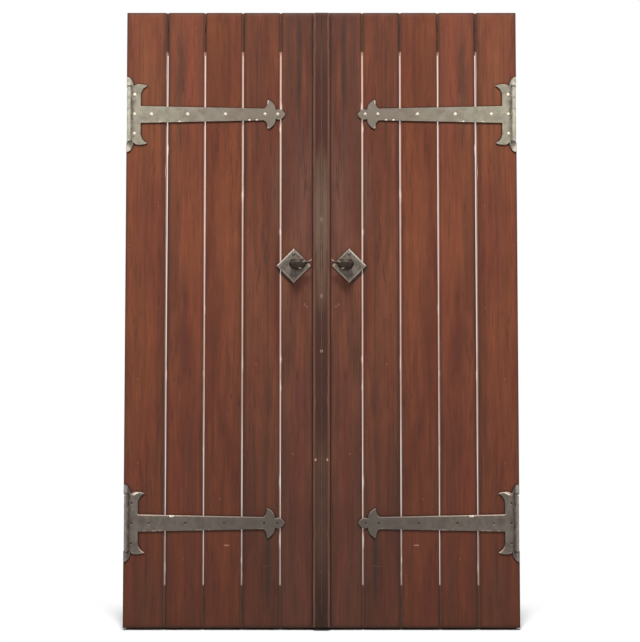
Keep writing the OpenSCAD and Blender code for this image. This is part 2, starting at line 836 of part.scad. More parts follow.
// Oval knob on a round neck, with a pointed tail; drawn along +Z from the neck's foot,
// with the tail towards +X
module knob(neck_len) {
    mid_z = neck_len + knob_d / 2;
    half = knob_len / 2;
    cylinder(h = mid_z, d = neck_d);
    translate([knob_in, knob_up, mid_z]) rotate([0, 90, 0]) rotate_extrude()
        polygon([for (i = [0:profile_steps]) let (a = 180 * i / profile_steps)
            [knob_d / 2 * sin(a), -half * cos(a)]]);
    tail = [[knob_in + half * tail_root_in, (knob_up + tail_up * tail_lift) / 2, tail_root_d],
        [(tail_in + knob_in + half) / 2, tail_up * tail_lift, (tail_root_d + tail_tip_d) / 2],
        [tail_in, tail_up, tail_tip_d]];
    for (i = [0, 1]) hull() for (bead = [tail[i], tail[i + 1]])
        translate([bead[0], bead[1], mid_z]) sphere(d = bead[2], $fn = 20);
}

outer_foot_y = board_front - knuckle_gap;
inner_foot_y = case_back - case_wall - knuckle_gap;

module spindle_bar(fit = 0) {
    w = spindle_w + 2 * fit;
    box([handle_x - w / 2, handle_x + w / 2],
        [outer_foot_y - spindle_socket - fit, inner_foot_y + spindle_socket + fit],
        [handle_z - w / 2, handle_z + w / 2]);
}

module handle() {
    color(dark_iron)
    difference() {
        front_at(handle_x, outer_foot_y, handle_z) mirror([1, 0, 0])
            knob(plate_t - knuckle_gap + knob_stand);
        spindle_bar(fastener_fit);
    }
}

module inside_handle() {
    color(dark_iron)
    difference() {
        translate([handle_x, inner_foot_y, handle_z]) rotate([90, 0, 180])
            knob(case_wall + knuckle_gap + knob_stand);
        spindle_bar(fastener_fit);
    }
}

// Locks

module crank_disc(r) {
    front_at(handle_x, stile_back + crank_t + overshoot, handle_z)
        cylinder(h = crank_t, d = 2 * r + 2 * crank_pin_d);
}

module crank_pin(r, angle) {
    translate([handle_x + r * cos(angle), stile_back + overshoot, handle_z + r * sin(angle)])
        rotate([-90, 0, 0]) cylinder(h = rod_back + bolt_t / 2 - overshoot, d = crank_pin_d);
}

// Spindle with the crank disc and the two pins that drive the rods
module rod_spindle() {
    color(dark_iron) {
        spindle_bar();
        crank_disc(rod_crank_r);
        crank_pin(rod_crank_r, 180 + rest_turn);
        crank_pin(rod_crank_r, rest_turn);
    }
}

// Spindle with the crank disc and the pin that drives the latch bolt
module bolt_spindle() {
    color(dark_iron) {
        spindle_bar();
        crank_disc(bolt_crank_r);
        crank_pin(bolt_crank_r, -rest_turn);
    }
}

module rod_end(x, notch_z, z, notch_side) {
    difference() {
        box([x - rod_end_w / 2, x + rod_end_w / 2], [rod_y - bolt_t / 2, rod_y + bolt_t / 2], z);
        box(notch_side > 0 ? [x - rod_end_w / 4, x + rod_end_w] : [x - rod_end_w, x + rod_end_w / 4],
            [rod_y - bolt_t, rod_y + bolt_t], [notch_z - rod_notch / 2, notch_z + rod_notch / 2]);
    }
}

module upper_rod() {
    end_z = [handle_z - rod_end_h, handle_z + rod_throw];
    color(steel) {
        rod_end(upper_rod_x, handle_z - rod_throw / 2, end_z, 1);
        translate([upper_rod_x, rod_y, end_z[1]]) cylinder(h = framing_top - end_z[1], d = rod_d);
    }
}

module lower_rod() {
    end_z = [handle_z - rod_throw, handle_z + rod_end_h];
    color(steel) {
        rod_end(lower_rod_x, handle_z + rod_throw / 2, end_z, -1);
        translate([lower_rod_x, rod_y, framing_bottom])
            cylinder(h = end_z[0] - framing_bottom, d = rod_d);
    }
}

module rod_guide(x, z) {
    w = rod_d / 2 + guide_wall;
    difference() {
        box([x - w, x + w], [stile_back, stile_back + guide_out], [z, z + guide_h]);
        translate([x, rod_y, z - overshoot])
            cylinder(h = guide_h + 2 * overshoot, d = rod_d + 2 * slide_fit);
    }
}

module rod_guides() {
    color(dark_iron) {
        for (z = upper_guides_z) rod_guide(upper_rod_x, z);
        for (z = lower_guides_z) rod_guide(lower_rod_x, z);
    }
}

// Open-backed case on the stile, with fixing ears above and below
module lock_case(x, ear_screws) {
    color(dark_iron)
    difference() {
        union() {
            box(x, [stile_back, case_back], [handle_z - case_h, handle_z + case_h]);
            box(x, [stile_back, ear_y], [handle_z - case_h - ear_h, handle_z + case_h + ear_h]);
        }
        box([x[0] + case_wall, x[1] - case_wall], [stile_back - overshoot, case_back - case_wall],
            [handle_z - case_h + case_wall, handle_z + case_h - case_wall]);
        front_at(handle_x, case_back + overshoot, handle_z) cylinder(h = case_d, d = neck_d + 2 * neck_fit);
        screws_at(ear_screws, ear_y, ear_screw_len, fastener_fit);
        children();
    }
}

module rod_case() {
    lock_case([handle_x - left_case_w, handle_x + left_case_w], rod_ear_screws) {
        translate([upper_rod_x, rod_y, handle_z]) cylinder(h = 2 * case_h, d = rod_d + 2 * slide_fit);
        translate([lower_rod_x, rod_y, handle_z - 2 * case_h])
            cylinder(h = 2 * case_h, d = rod_d + 2 * slide_fit);
    }
}

module bolt_space(x, fit) {
    box(x, [rod_y - bolt_t / 2 - fit, rod_y + bolt_t / 2 + fit],
        [bolt_z - bolt_h / 2 - fit, bolt_z + bolt_h / 2 + fit]);
}

module latch_case() {
    lock_case([case_meet, latch_case_out], latch_ear_screws)
        bolt_space([case_meet - overshoot, case_meet + 2 * case_wall], slide_fit);
}

module latch_bolt() {
    pin_x = handle_x + bolt_throw / 2;
    color(steel)
    difference() {
        bolt_space([bolt_rest_x, bolt_tail_x], 0);
        box([pin_x - crank_pin_d / 2 - crank_play, pin_x + crank_pin_d / 2 + crank_play],
            [rod_y - bolt_t, rod_y + bolt_t],
            [handle_z - bolt_crank_r - crank_pin_d / 2 - crank_play, handle_z]);
    }
}

module bolt_keeper() {
    wall = guide_wall;
    color(dark_iron)
    difference() {
        box([case_meet, case_meet + keeper_len], [stile_back, rod_y + bolt_t / 2 + keeper_fit + wall],
            [bolt_z - bolt_h / 2 - keeper_fit - wall, bolt_z + bolt_h / 2 + keeper_fit + wall]);
        bolt_space([case_meet - overshoot, case_meet + keeper_len + overshoot], keeper_fit);
    }
}

side(left) jamb();  // jamb_left
side(right) jamb();  // jamb_right
head();
sill();
frame_pegs();
side(left) hinge_plate(hinge_top_z);  // hinge_plate_top_left
side(left) hinge_plate(hinge_bottom_z);  // hinge_plate_bottom_left
side(right) hinge_plate(hinge_top_z);  // hinge_plate_top_right
side(right) hinge_plate(hinge_bottom_z);  // hinge_plate_bottom_right
hinge_pins();
hinge_plate_screws();
rod_keepers();
side(left) board(0);  // left_board_1
side(left) board(1);  // left_board_2
side(left) board(2);  // left_board_3
side(left) board(3);  // left_board_4
side(left) board(4);  // left_board_5
side(left) hinge_stile();  // left_hinge_stile
side(left) meeting_stile(rod_ear_screws);  // left_meeting_stile
side(left) top_rail();  // left_top_rail
side(left) bottom_rail();  // left_bottom_rail
side(left) leaf_pegs();  // left_pegs
side(left) cover_strip();  // left_cover_strip
side(left) strap(hinge_top_z);  // left_strap_top
side(left) strap(hinge_bottom_z);  // left_strap_bottom
side(left) studs();  // left_studs
side(left) left_screws();
side(left) handle_plate();  // left_handle_plate
side(left) rod_case();
side(left) rod_guides();
side(left) bolt_keeper();
side(left) handle();  // left_handle
side(left) rod_spindle();  // left_spindle
side(left) inside_handle();  // left_inside_handle
side(left) upper_rod();
side(left) lower_rod();
side(right) board(0);  // right_board_1
side(right) board(1);  // right_board_2
side(right) board(2);  // right_board_3
side(right) board(3);  // right_board_4
side(right) board(4);  // right_board_5
side(right) hinge_stile();  // right_hinge_stile
side(right) meeting_stile(latch_ear_screws);  // right_meeting_stile
side(right) top_rail();  // right_top_rail
side(right) bottom_rail();  // right_bottom_rail
side(right) leaf_pegs();  // right_pegs
side(right) cover_strip();  // right_cover_strip
side(right) strap(hinge_top_z);  // right_strap_top
side(right) strap(hinge_bottom_z);  // right_strap_bottom
side(right) studs();  // right_studs
side(right) right_screws();
side(right) handle_plate();  // right_handle_plate
side(right) latch_case();
side(right) handle();  // right_handle
side(right) bolt_spindle();  // right_spindle
side(right) inside_handle();  // right_inside_handle
side(right) latch_bolt();
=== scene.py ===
import json
import math
import random
import bmesh
import bpy
from mathutils import Matrix, Vector, noise


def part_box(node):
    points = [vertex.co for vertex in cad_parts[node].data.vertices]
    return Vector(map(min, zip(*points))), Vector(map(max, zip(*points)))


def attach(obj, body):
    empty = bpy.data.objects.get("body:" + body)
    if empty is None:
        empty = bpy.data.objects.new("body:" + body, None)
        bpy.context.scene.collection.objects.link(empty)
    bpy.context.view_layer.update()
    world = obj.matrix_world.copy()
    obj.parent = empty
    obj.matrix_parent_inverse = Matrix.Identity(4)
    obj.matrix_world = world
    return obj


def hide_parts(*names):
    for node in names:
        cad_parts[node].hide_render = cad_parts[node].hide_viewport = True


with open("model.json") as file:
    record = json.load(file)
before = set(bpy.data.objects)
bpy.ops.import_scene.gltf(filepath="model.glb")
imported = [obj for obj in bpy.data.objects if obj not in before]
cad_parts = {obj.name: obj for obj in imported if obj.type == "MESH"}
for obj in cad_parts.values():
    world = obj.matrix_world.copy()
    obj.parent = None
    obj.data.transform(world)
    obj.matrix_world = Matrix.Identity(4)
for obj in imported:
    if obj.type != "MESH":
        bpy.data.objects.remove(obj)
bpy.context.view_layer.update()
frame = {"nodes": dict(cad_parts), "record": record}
nodes = frame["nodes"]
slots = {row["node"]: row["material_slot"] for row in frame["record"]["subparts"]}
print("frame loaded")


def srgb(red, green, blue):
    linear = [c / 3294.6 if c < 10.4 else ((c / 255 + 0.055) / 1.055) ** 2.4 for c in (red, green, blue)]
    return (*linear, 1.0)


def mixed(a, b, share):
    return a + (b - a) * share


def newTree(name):
    material = bpy.data.materials.new(name)
    material.use_nodes = True
    tree = material.node_tree
    tree.nodes.clear()
    return material, tree


def put(tree, kind, inputs=None, **settings):
    made = tree.nodes.new(kind)
    for key, value in settings.items():
        setattr(made, key, value)
    for key, value in (inputs or {}).items():
        if isinstance(value, bpy.types.NodeSocket):
            tree.links.new(value, made.inputs[key])
        else:
            made.inputs[key].default_value = value
    return made


def math2(tree, operation, a, b=0.0, clamp=False):
    return put(tree, "ShaderNodeMath", {0: a, 1: b}, operation=operation, use_clamp=clamp).outputs[0]


def ranged(tree, value, low, high, outLow=0.0, outHigh=1.0, smooth=False):
    kind = "SMOOTHSTEP" if smooth else "LINEAR"
    made = put(tree, "ShaderNodeMapRange", {0: value, 1: low, 2: high, 3: outLow, 4: outHigh},
               interpolation_type=kind)
    return made.outputs[0]


def times(tree, a, b):
    return math2(tree, "MULTIPLY", a, b)


def blendColors(tree, share, a, b, kind="MIX"):
    made = put(tree, "ShaderNodeMix", {0: share, 6: a, 7: b}, data_type="RGBA", blend_type=kind)
    return made.outputs[2]


def tinted(tree, color, share, tone):
    return blendColors(tree, share, color, srgb(*tone))


def shadedBy(tree, color, shade):
    grey = put(tree, "ShaderNodeCombineColor", {0: shade, 1: shade, 2: shade}).outputs[0]
    return blendColors(tree, 1.0, color, grey, "MULTIPLY")


def noiseOf(tree, vector, scale, detail=3.0, rough=0.55, twist=0.0, offset=(0, 0, 0)):
    placed = put(tree, "ShaderNodeMapping", {"Vector": vector, "Location": offset, "Scale": scale})
    made = put(tree, "ShaderNodeTexNoise", {"Vector": placed.outputs[0], "Scale": 1.0, "Detail": detail,
                                            "Roughness": rough, "Distortion": twist})
    return made.outputs[0]


def cellsOf(tree, vector, scale, feature="F1", offset=(0, 0, 0)):
    placed = put(tree, "ShaderNodeMapping", {"Vector": vector, "Location": offset, "Scale": scale})
    return put(tree, "ShaderNodeTexVoronoi", {"Vector": placed.outputs[0], "Scale": 1.0}, feature=feature)


# 1 inside an ellipse around a point, fading out at its rim
def spotOf(tree, vector, centre, size, core=0.6, rim=1.1):
    moved = put(tree, "ShaderNodeVectorMath", {0: vector, 1: centre}, operation="SUBTRACT")
    scaled = put(tree, "ShaderNodeVectorMath", {0: moved.outputs[0], 1: [1 / s for s in size]},
                 operation="MULTIPLY")
    length = put(tree, "ShaderNodeVectorMath", {0: scaled.outputs[0]}, operation="LENGTH")
    return ranged(tree, length.outputs["Value"], core, rim, 1.0, 0.0, smooth=True)


# a bare chip or scratch; lean is how far it rises towards the hinge, per metre
def markOf(tree, place, mark, color, grain):
    at, lean = mark["at"], mark.get("lean", 0.0)
    if lean:
        x, y, z = put(tree, "ShaderNodeSeparateXYZ", {0: place}).outputs
        lifted = math2(tree, "MULTIPLY_ADD", x, -lean)
        lifted.node.inputs[2].default_value = lean * at[0]
        level = math2(tree, "ADD", z, lifted)
        place = put(tree, "ShaderNodeCombineXYZ", {0: x, 1: y, 2: level}).outputs[0]
    spot = spotOf(tree, place, at, mark["size"])
    start = 0.2 if "whole" in mark else 0.36
    broken = ranged(tree, noiseOf(tree, place, (grain, grain, grain), 2.0), start, 0.52)
    return tinted(tree, color, times(tree, spot, broken), mark["color"])


# place in the part's own frame, with x folded so that the two sides match
def foldedPlace(tree):
    coord = put(tree, "ShaderNodeTexCoord")
    parts = put(tree, "ShaderNodeSeparateXYZ", {0: coord.outputs["Object"]})
    folded = math2(tree, "ABSOLUTE", parts.outputs[0])
    place = put(tree, "ShaderNodeCombineXYZ", {0: folded, 1: parts.outputs[1], 2: parts.outputs[2]})
    normal = put(tree, "ShaderNodeSeparateXYZ", {0: coord.outputs["Normal"]})
    return place.outputs[0], folded, parts.outputs[2], normal.outputs


def finishShader(tree, color, roughness, height, bump, metallic=0.0, specular=0.4, coat=0.0):
    relief = put(tree, "ShaderNodeBump", {
        "Height": height, "Strength": bump["strength"], "Distance": bump["depth"]})
    shader = put(tree, "ShaderNodeBsdfPrincipled", {
        "Base Color": color, "Roughness": roughness, "Metallic": metallic, "Specular IOR Level": specular,
        "Coat Weight": coat, "Coat Roughness": 0.25, "Normal": relief.outputs[0]})
    put(tree, "ShaderNodeOutputMaterial", {"Surface": shader.outputs[0]})


# noise layers of the wood: fine across the grain and long along it; offsets are counted in seeds along x and z,
# and the fineness of the broad bands comes with the look
woodLayers = {
    "sway": {"fine": 5.0, "long": 0.9, "detail": 2.0, "rough": 0.5, "twist": 0.0, "offset": (1, 0, 1)},
    "broad": {"long": 1.1, "detail": 3.0, "rough": 0.55, "twist": 0.3, "offset": (3, 1, 1)},
    "drift": {"fine": 9.0, "long": 1.9, "detail": 3.0, "rough": 0.55, "twist": 0.5, "offset": (4, 7, 2)},
    "streaks": {"fine": 46.0, "long": 1.2, "detail": 4.0, "rough": 0.6, "twist": 0.1, "offset": (5, 2, 0)},
    "fibres": {"fine": 190.0, "long": 3.4, "detail": 5.0, "rough": 0.65, "twist": 0.1, "offset": (7, 3, 0)},
    "dashes": {"fine": 230.0, "long": 14.0, "detail": 2.0, "rough": 0.5, "twist": 0.0, "offset": (1, 4, 1)},
    "clusters": {"fine": 18.0, "long": 3.0, "detail": 2.0, "rough": 0.5, "twist": 0.0, "offset": (1, 8, 2)},
    "mottle": {"fine": 38.0, "long": 7.0, "detail": 4.0, "rough": 0.6, "twist": 0.6, "offset": (6, 9, 1)},
}


# wood: bands of warm, red and grey tones along the grain, with streaks, fibres and short dark dashes
def woodMaterial(name, look):
    material, tree = newTree(name)
    place, folded, height, normal = foldedPlace(tree)
    seed = look["seed"]

    def layer(key, vector):
        row = woodLayers[key]
        fine, long = row.get("fine", look["bandScale"]), row["long"]
        scale = (fine, fine, long) if look.get("across", "x") == "x" else (long, fine, fine)
        x, y, z = row["offset"]
        return noiseOf(tree, vector, scale, row["detail"], row["rough"], row["twist"], (seed * x, y, seed * z))

    swing = (look["sway"], 0.0, look["sway"])
    swayed = put(tree, "ShaderNodeVectorMath", {0: layer("sway", place), 1: swing, 2: place},
                 operation="MULTIPLY_ADD").outputs[0]
    broad, drift, streaks = [layer(key, swayed) for key in ("broad", "drift", "streaks")]
    fibres, dashes, mottle = [layer(key, swayed) for key in ("fibres", "dashes", "mottle")]
    clusters = layer("clusters", place)
    patches = noiseOf(tree, place, (2.6, 2.6, 1.6), 3.0, 0.6, 0.3, (seed * 2, 5, seed))
    rise = math2(tree, "ADD", ranged(tree, height, 0.0, 2.1), ranged(tree, patches, 0.3, 0.7, -0.08, 0.08))

    def risen(low, high, start, end):
        return tinted(tree, srgb(*look[low]), ranged(tree, rise, start, end), look[high])

    warm = risen("warmLow", "warmMid", 0.05, 0.55)
    warm = tinted(tree, warm, ranged(tree, rise, 0.55, 1.0), look["warmTop"])
    red = risen("redLow", "redTop", 0.0, 0.9)
    warm = blendColors(tree, ranged(tree, drift, 0.4, 0.62, 0.0, 0.9, smooth=True), warm, red)
    grey = risen("greyLow", "greyTop", 0.0, 0.9)
    color = blendColors(tree, ranged(tree, broad, 0.42, 0.66, 0.0, look["greyShare"], smooth=True), warm, grey)
    darker = ranged(tree, streaks, 0.36, 0.52, look["streak"], 0.0, smooth=True)
    color = tinted(tree, color, darker, look["streakColor"])
    lighter = ranged(tree, streaks, 0.56, 0.74, 0.0, 0.2, smooth=True)
    color = tinted(tree, color, lighter, look["lightColor"])
    for x, z, wide, tall, tone, share in look.get("smears", []):
        soft = spotOf(tree, swayed, (x, look["face"], z), (wide, 0.2, tall), 0.35, 1.2)
        torn = ranged(tree, streaks, 0.35, 0.6, share / 2, share)
        color = tinted(tree, color, times(tree, soft, torn), tone)
    shade = times(tree, ranged(tree, fibres, 0.25, 0.75, 0.83, 1.16),
                  ranged(tree, mottle, 0.3, 0.7, 1 - look["mottle"], 1 + look["mottle"]))
    color = shadedBy(tree, color, shade)
    dark = times(tree, ranged(tree, dashes, 0.58, 0.68, smooth=True),
                 ranged(tree, clusters, 0.45, 0.62, 0.12, look["dashes"]))
    color = tinted(tree, color, dark, look["dashColor"])

    # dirt and painted shade that thicken towards an edge, and at both ends of a board
    for dirt in look.get("dirt", []):
        share = ranged(tree, folded, dirt["from"], dirt["to"], 0.0, dirt["share"])
        share = times(tree, share, ranged(tree, streaks, 0.3, 0.6, 1.1, 0.75))
        color = tinted(tree, color, share, look["dirtColor"])
    if "ends" in look:
        foot, top = look["ends"]
        share = math2(tree, "MAXIMUM", ranged(tree, height, top - 0.009, top - 0.002),
                      ranged(tree, height, foot + 0.010, foot + 0.002))
        color = tinted(tree, color, times(tree, share, 0.75), look["dirtColor"])
    if "contact" in look:
        # painted shade in the corners along straps, plates and strip, from ambient occlusion
        near = put(tree, "ShaderNodeAmbientOcclusion", {"Distance": look["contact"]}, samples=8).outputs["AO"]
        share = ranged(tree, near, 0.94, 0.62, 0.0, look["contactShare"])
        color = tinted(tree, color, share, look["contactColor"])
    if "bareTop" in look:
        # the stain did not reach into the gaps; the bare wood there gets painted shade towards the bottom, and
        # more painted shade at the closed ends
        depth = put(tree, "ShaderNodeSeparateXYZ", {0: place}).outputs[1]
        start, end = look["bareFrom"], look["bareTo"]
        deep = times(tree, ranged(tree, depth, start, start + 0.0034),
                     ranged(tree, depth, end, end + 0.002, 1.0, 0.0))
        inGap = times(tree, ranged(tree, folded, 0.64, 0.65, 1.0, 0.0), ranged(tree, folded, 0.06, 0.07))
        foot, top = look["open"]
        closed = math2(tree, "MAXIMUM", ranged(tree, height, foot + 0.006, foot),
                       ranged(tree, height, top - 0.006, top))
        bareColor = tinted(tree, srgb(*look["bareLow"]), ranged(tree, height, 0.2, 1.6), look["bareTop"])
        bareColor = tinted(tree, bareColor, closed, look["closedColor"])
        bare = times(tree, times(tree, deep, inGap), ranged(tree, fibres, 0.3, 0.7, 0.75, 1.0))
        color = blendColors(tree, bare, color, bareColor)

    # small pale specks and bare scratches
    cells = cellsOf(tree, place, (30.0, 30.0, 24.0), "F1", (seed, 6, seed))
    pick = put(tree, "ShaderNodeSeparateColor", {0: cells.outputs["Color"]}).outputs[0]
    speck = times(tree, ranged(tree, cells.outputs["Distance"], 0.04, 0.09, 1.0, 0.0),
                  ranged(tree, pick, 0.84, 0.9))
    color = tinted(tree, color, times(tree, speck, look["specks"]), look["speckColor"])
    for mark in look.get("marks", []):
        color = markOf(tree, place, mark, color, 150.0)
    if "wornEdge" in look:
        # painted highlight on the chamfers of the cover strip, where they face half sideways
        turned = math2(tree, "ABSOLUTE", normal[0])
        facing = ranged(tree, turned, 0.25, 0.6, 0.0, 1.0, smooth=True)
        side = ranged(tree, turned, 0.85, 0.97, 1.0, 0.0, smooth=True)
        outer = ranged(tree, folded, look["wornFrom"], look["wornFrom"] + 0.002)
        worn = times(tree, times(tree, facing, side), ranged(tree, fibres, 0.3, 0.6, 0.35, 1.0))
        worn = times(tree, times(tree, worn, outer), look["wornShare"])
        color = tinted(tree, color, worn, look["wornEdge"])

    relief = math2(tree, "ADD", times(tree, fibres, 0.6), times(tree, streaks, 0.4))
    relief = math2(tree, "SUBTRACT", relief, times(tree, dark, 0.8))
    roughness = ranged(tree, streaks, 0.3, 0.7, *look["rough"])
    bump = {"strength": 0.6, "depth": look["depth"]}
    finishShader(tree, color, roughness, relief, bump, specular=look["specular"])
    return material


# iron: mottled paint or bare metal with rust, dents and scoured upper edges
def ironMaterial(name, look):
    material, tree = newTree(name)
    place, folded, _, normal = foldedPlace(tree)
    seed = look["seed"]

    def evenNoise(scale, *settings):
        return noiseOf(tree, place, (scale, scale, scale), *settings)

    clouds = evenNoise(look["cloudScale"], 4.0, 0.6, 0.2, (seed, 0, 0))
    stains = evenNoise(18.0, 5.0, 0.65, 0.5, (0, seed, 0))
    grit = evenNoise(260.0, 3.0, 0.6, 0.0, (0, 0, seed))
    dents = cellsOf(tree, place, (look["dentScale"],) * 3, "SMOOTH_F1", (seed, seed, 0)).outputs["Distance"]

    color = tinted(tree, srgb(*look["dark"]), ranged(tree, clouds, 0.32, 0.68, smooth=True), look["light"])
    rusted = ranged(tree, stains, 0.55, 0.75, 0.0, look["rustShare"], smooth=True)
    color = tinted(tree, color, rusted, look["rust"])
    color = tinted(tree, color, ranged(tree, grit, 0.56, 0.72, 0.0, look["gritShare"]), look["gritColor"])
    for step, (tint, share) in enumerate(look.get("tints", [])):
        cloud = evenNoise(look["tintScale"], 3.0, 0.6, 0.4, (seed, step * 5, 3))
        color = tinted(tree, color, ranged(tree, cloud, 0.52, 0.66, 0.0, share, smooth=True), tint)
    # painted highlight on upper edges and painted lighting on lower edges, shade on most of the irons and a
    # light line on the pale straps; near an edge the rounded normal tells which it is
    lean = normal[2]
    if "edgeWidth" in look:
        rounded = put(tree, "ShaderNodeBevel", {"Radius": look["edgeWidth"]}, samples=6).outputs[0]
        lean = put(tree, "ShaderNodeSeparateXYZ", {0: rounded}).outputs[2]
        lean = times(tree, lean, ranged(tree, folded, look["crease"] - 0.004, look["crease"], 1.0, 0.0))
    up = ranged(tree, lean, look["edgeFrom"], look["edgeFrom"] + 0.3, 0.0, look["edgeShare"], smooth=True)
    color = tinted(tree, color, up, look["edgeColor"])
    down = ranged(tree, lean, -0.55, -0.25, look["underShare"], 0.0, smooth=True)
    color = tinted(tree, color, down, look["underColor"])
    if "chipColor" in look:
        chips = ranged(tree, evenNoise(62.0, 2.0, 0.5, 0.0, (seed, 2, 0)), 0.55, 0.61)
        chips = times(tree, chips, math2(tree, "MAXIMUM", up, down))
        color = tinted(tree, color, chips, look["chipColor"])
    if "rimColor" in look:
        # painted highlight along the plate's rim, weighted by side
        rim = put(tree, "ShaderNodeAttribute", attribute_name="rim").outputs["Fac"]
        rim = times(tree, rim, ranged(tree, clouds, 0.3, 0.55, 0.45, look["rimShare"]))
        color = tinted(tree, color, rim, look["rimColor"])
    if "crease" in look:
        # dirt and painted shade along the inner side of the knuckles
        away = math2(tree, "ABSOLUTE", math2(tree, "SUBTRACT", folded, look["crease"]))
        share = times(tree, ranged(tree, away, 0.001, 0.009, 1.0, 0.0, smooth=True),
                      ranged(tree, noiseOf(tree, place, (110.0, 110.0, 70.0), 3.0), 0.42, 0.58, 0.0, 0.85))
        color = tinted(tree, color, share, look["gritColor"])
    if "barrelColor" in look:
        # painted highlight along the knuckles, uneven
        rubbed = noiseOf(tree, place, (120.0, 120.0, 60.0), 3.0, 0.6, 0.0, (seed, 9, 0))
        share = times(tree, ranged(tree, folded, look["crease"] + 0.003, look["crease"] + 0.01),
                      ranged(tree, rubbed, 0.4, 0.6, 0.25, look["barrelShare"]))
        color = tinted(tree, color, share, look["barrelColor"])
    if "farColor" in look:
        # the strap darkens from the hinge towards its tip
        share = ranged(tree, folded, look["farFrom"], look["farTo"], 0.0, look["farShare"], smooth=True)
        color = tinted(tree, color, share, look["farColor"])
    for mark in look.get("marks", []):
        color = markOf(tree, place, mark, color, 210.0)

    relief = math2(tree, "ADD", times(tree, dents, look["dentShare"]), times(tree, grit, 0.35))
    relief = math2(tree, "ADD", relief, times(tree, clouds, 0.4))
    roughness = ranged(tree, clouds, 0.3, 0.7, *look["rough"])
    bump = {"strength": look["bump"], "depth": look["depth"]}
    coat = look.get("coat", 0.0)
    finishShader(tree, color, roughness, relief, bump, look["metallic"], look["specular"], coat)
    return material


# a look with some values changed, and without the keys that it has no use for
def varied(look, without, **changes):
    return dict({key: value for key, value in look.items() if key not in without}, **changes)


# boards: what they share
boardLook = {
    "face": -0.072, "seed": 1.0, "sway": 0.026, "bandScale": 13.0, "streak": 0.36, "mottle": 0.16,
    "warmTop": (116, 64, 40), "warmMid": (106, 57, 37), "warmLow": (82, 43, 28),
    "redTop": (110, 56, 39), "redLow": (83, 41, 29),
    "greyTop": (80, 51, 38), "greyLow": (60, 36, 27),
    "streakColor": (66, 36, 26), "lightColor": (122, 72, 50), "dashes": 0.55, "dashColor": (50, 27, 20),
    # dirt and painted shade along the board edges and ends; bare wood in the gaps with painted shade low down
    # and at their closed ends
    "dirtColor": (50, 32, 25), "ends": (0.008, 2.108), "bareTop": (204, 158, 136), "bareLow": (148, 114, 98),
    "bareFrom": -0.0706, "bareTo": -0.062, "open": (0.147, 1.974), "closedColor": (98, 70, 57),
    # painted shade in the corners beside straps, plates and strip
    "contact": 0.009, "contactShare": 0.9, "contactColor": (34, 20, 15),
    "specks": 0.35, "speckColor": (150, 112, 92),
    "rough": (0.5, 0.72), "specular": 0.15, "depth": 0.0009,
}

# painted shadow below the handle plate, across the first gap
underPlate = {"at": (0.128, -0.072, 1.197), "size": (0.036, 0.02, 0.008), "lean": 1.0, "whole": True,
              "color": (38, 23, 17)}

# what differs between them, counted from the meeting line: tone at the top and over all, how cool the tone is,
# dirt and painted shade as (width, share) along the inner and the outer edge, scratches and painted shadow, and
# darker or greyer smears as (x, z, half width, half height, colour, share)
boardTraits = [
    {"topTone": (0.77, 0.69, 0.67), "tone": (1.08, 1.11, 1.14), "cool": 0.7,
     "greyShare": 0.6, "outer": (0.005, 0.6),
     "smears": [(0.094, 1.70, 0.012, 0.24, (70, 45, 37), 0.8),
                (0.090, 1.98, 0.015, 0.22, (54, 34, 26), 0.9),
                (0.094, 0.80, 0.014, 0.1, (78, 42, 36), 0.7),
                (0.052, 1.62, 0.012, 0.2, (84, 55, 45), 0.7),
                (0.068, 1.40, 0.06, 0.3, (112, 74, 60), 0.4)],
     "marks": [underPlate,
               {"at": (0.0575, -0.072, 1.099), "size": (0.003, 0.02, 0.006), "color": (128, 92, 76)},
               {"at": (0.050, -0.072, 1.092), "size": (0.004, 0.02, 0.003), "color": (118, 84, 70)}]},
    {"topTone": (0.85, 0.735, 0.65), "tone": (0.95, 0.95, 0.97), "cool": 0.7,
     "greyShare": 0.4, "inner": (0.009, 0.3), "outer": (0.011, 0.95),
     "smears": [(0.194, 0.225, 0.014, 0.15, (48, 36, 30), 0.9),
                (0.160, 1.50, 0.022, 0.2, (84, 57, 45), 0.8),
                (0.190, 0.79, 0.012, 0.07, (64, 38, 30), 0.8)],
     "marks": [underPlate,
               {"at": (0.183, -0.072, 0.2145), "size": (0.018, 0.02, 0.001), "lean": -0.16, "whole": True,
                "color": (100, 58, 46)}]},
    {"topTone": (0.82, 0.76, 0.66), "tone": (1.0, 0.99, 0.97), "cool": 0.1,
     "greyShare": 0.3, "inner": (0.006, 0.4), "outer": (0.004, 0.3),
     "smears": [(0.338, 0.83, 0.012, 0.24, (84, 43, 32), 0.6)],
     "marks": [{"at": (0.321, -0.072, 0.284), "size": (0.012, 0.02, 0.0026), "color": (142, 104, 88)},
               {"at": (0.314, -0.072, 0.268), "size": (0.005, 0.02, 0.0018), "color": (96, 60, 48)}]},
    {"topTone": (0.97, 0.94, 0.89), "tone": (1.0, 0.99, 0.97), "cool": 0.1,
     "greyShare": 0.4, "inner": (0.008, 0.4), "outer": (0.010, 0.75),
     "smears": [(0.500, 1.86, 0.022, 0.26, (70, 46, 33), 0.8),
                (0.472, 1.36, 0.02, 0.18, (126, 66, 42), 0.6),
                (0.460, 1.80, 0.014, 0.12, (102, 54, 42), 0.5),
                (0.478, 0.96, 0.016, 0.09, (78, 40, 32), 0.7)]},
    {"topTone": (0.95, 0.96, 0.93), "tone": (1.0, 1.0, 0.97), "cool": 0.0,
     "greyShare": 0.25, "inner": (0.014, 0.75), "outer": (0.006, 0.5),
     "smears": [(0.60, 0.11, 0.05, 0.16, (74, 44, 30), 0.7)]},
]
coolTint = (-0.09, -0.01, 0.05)

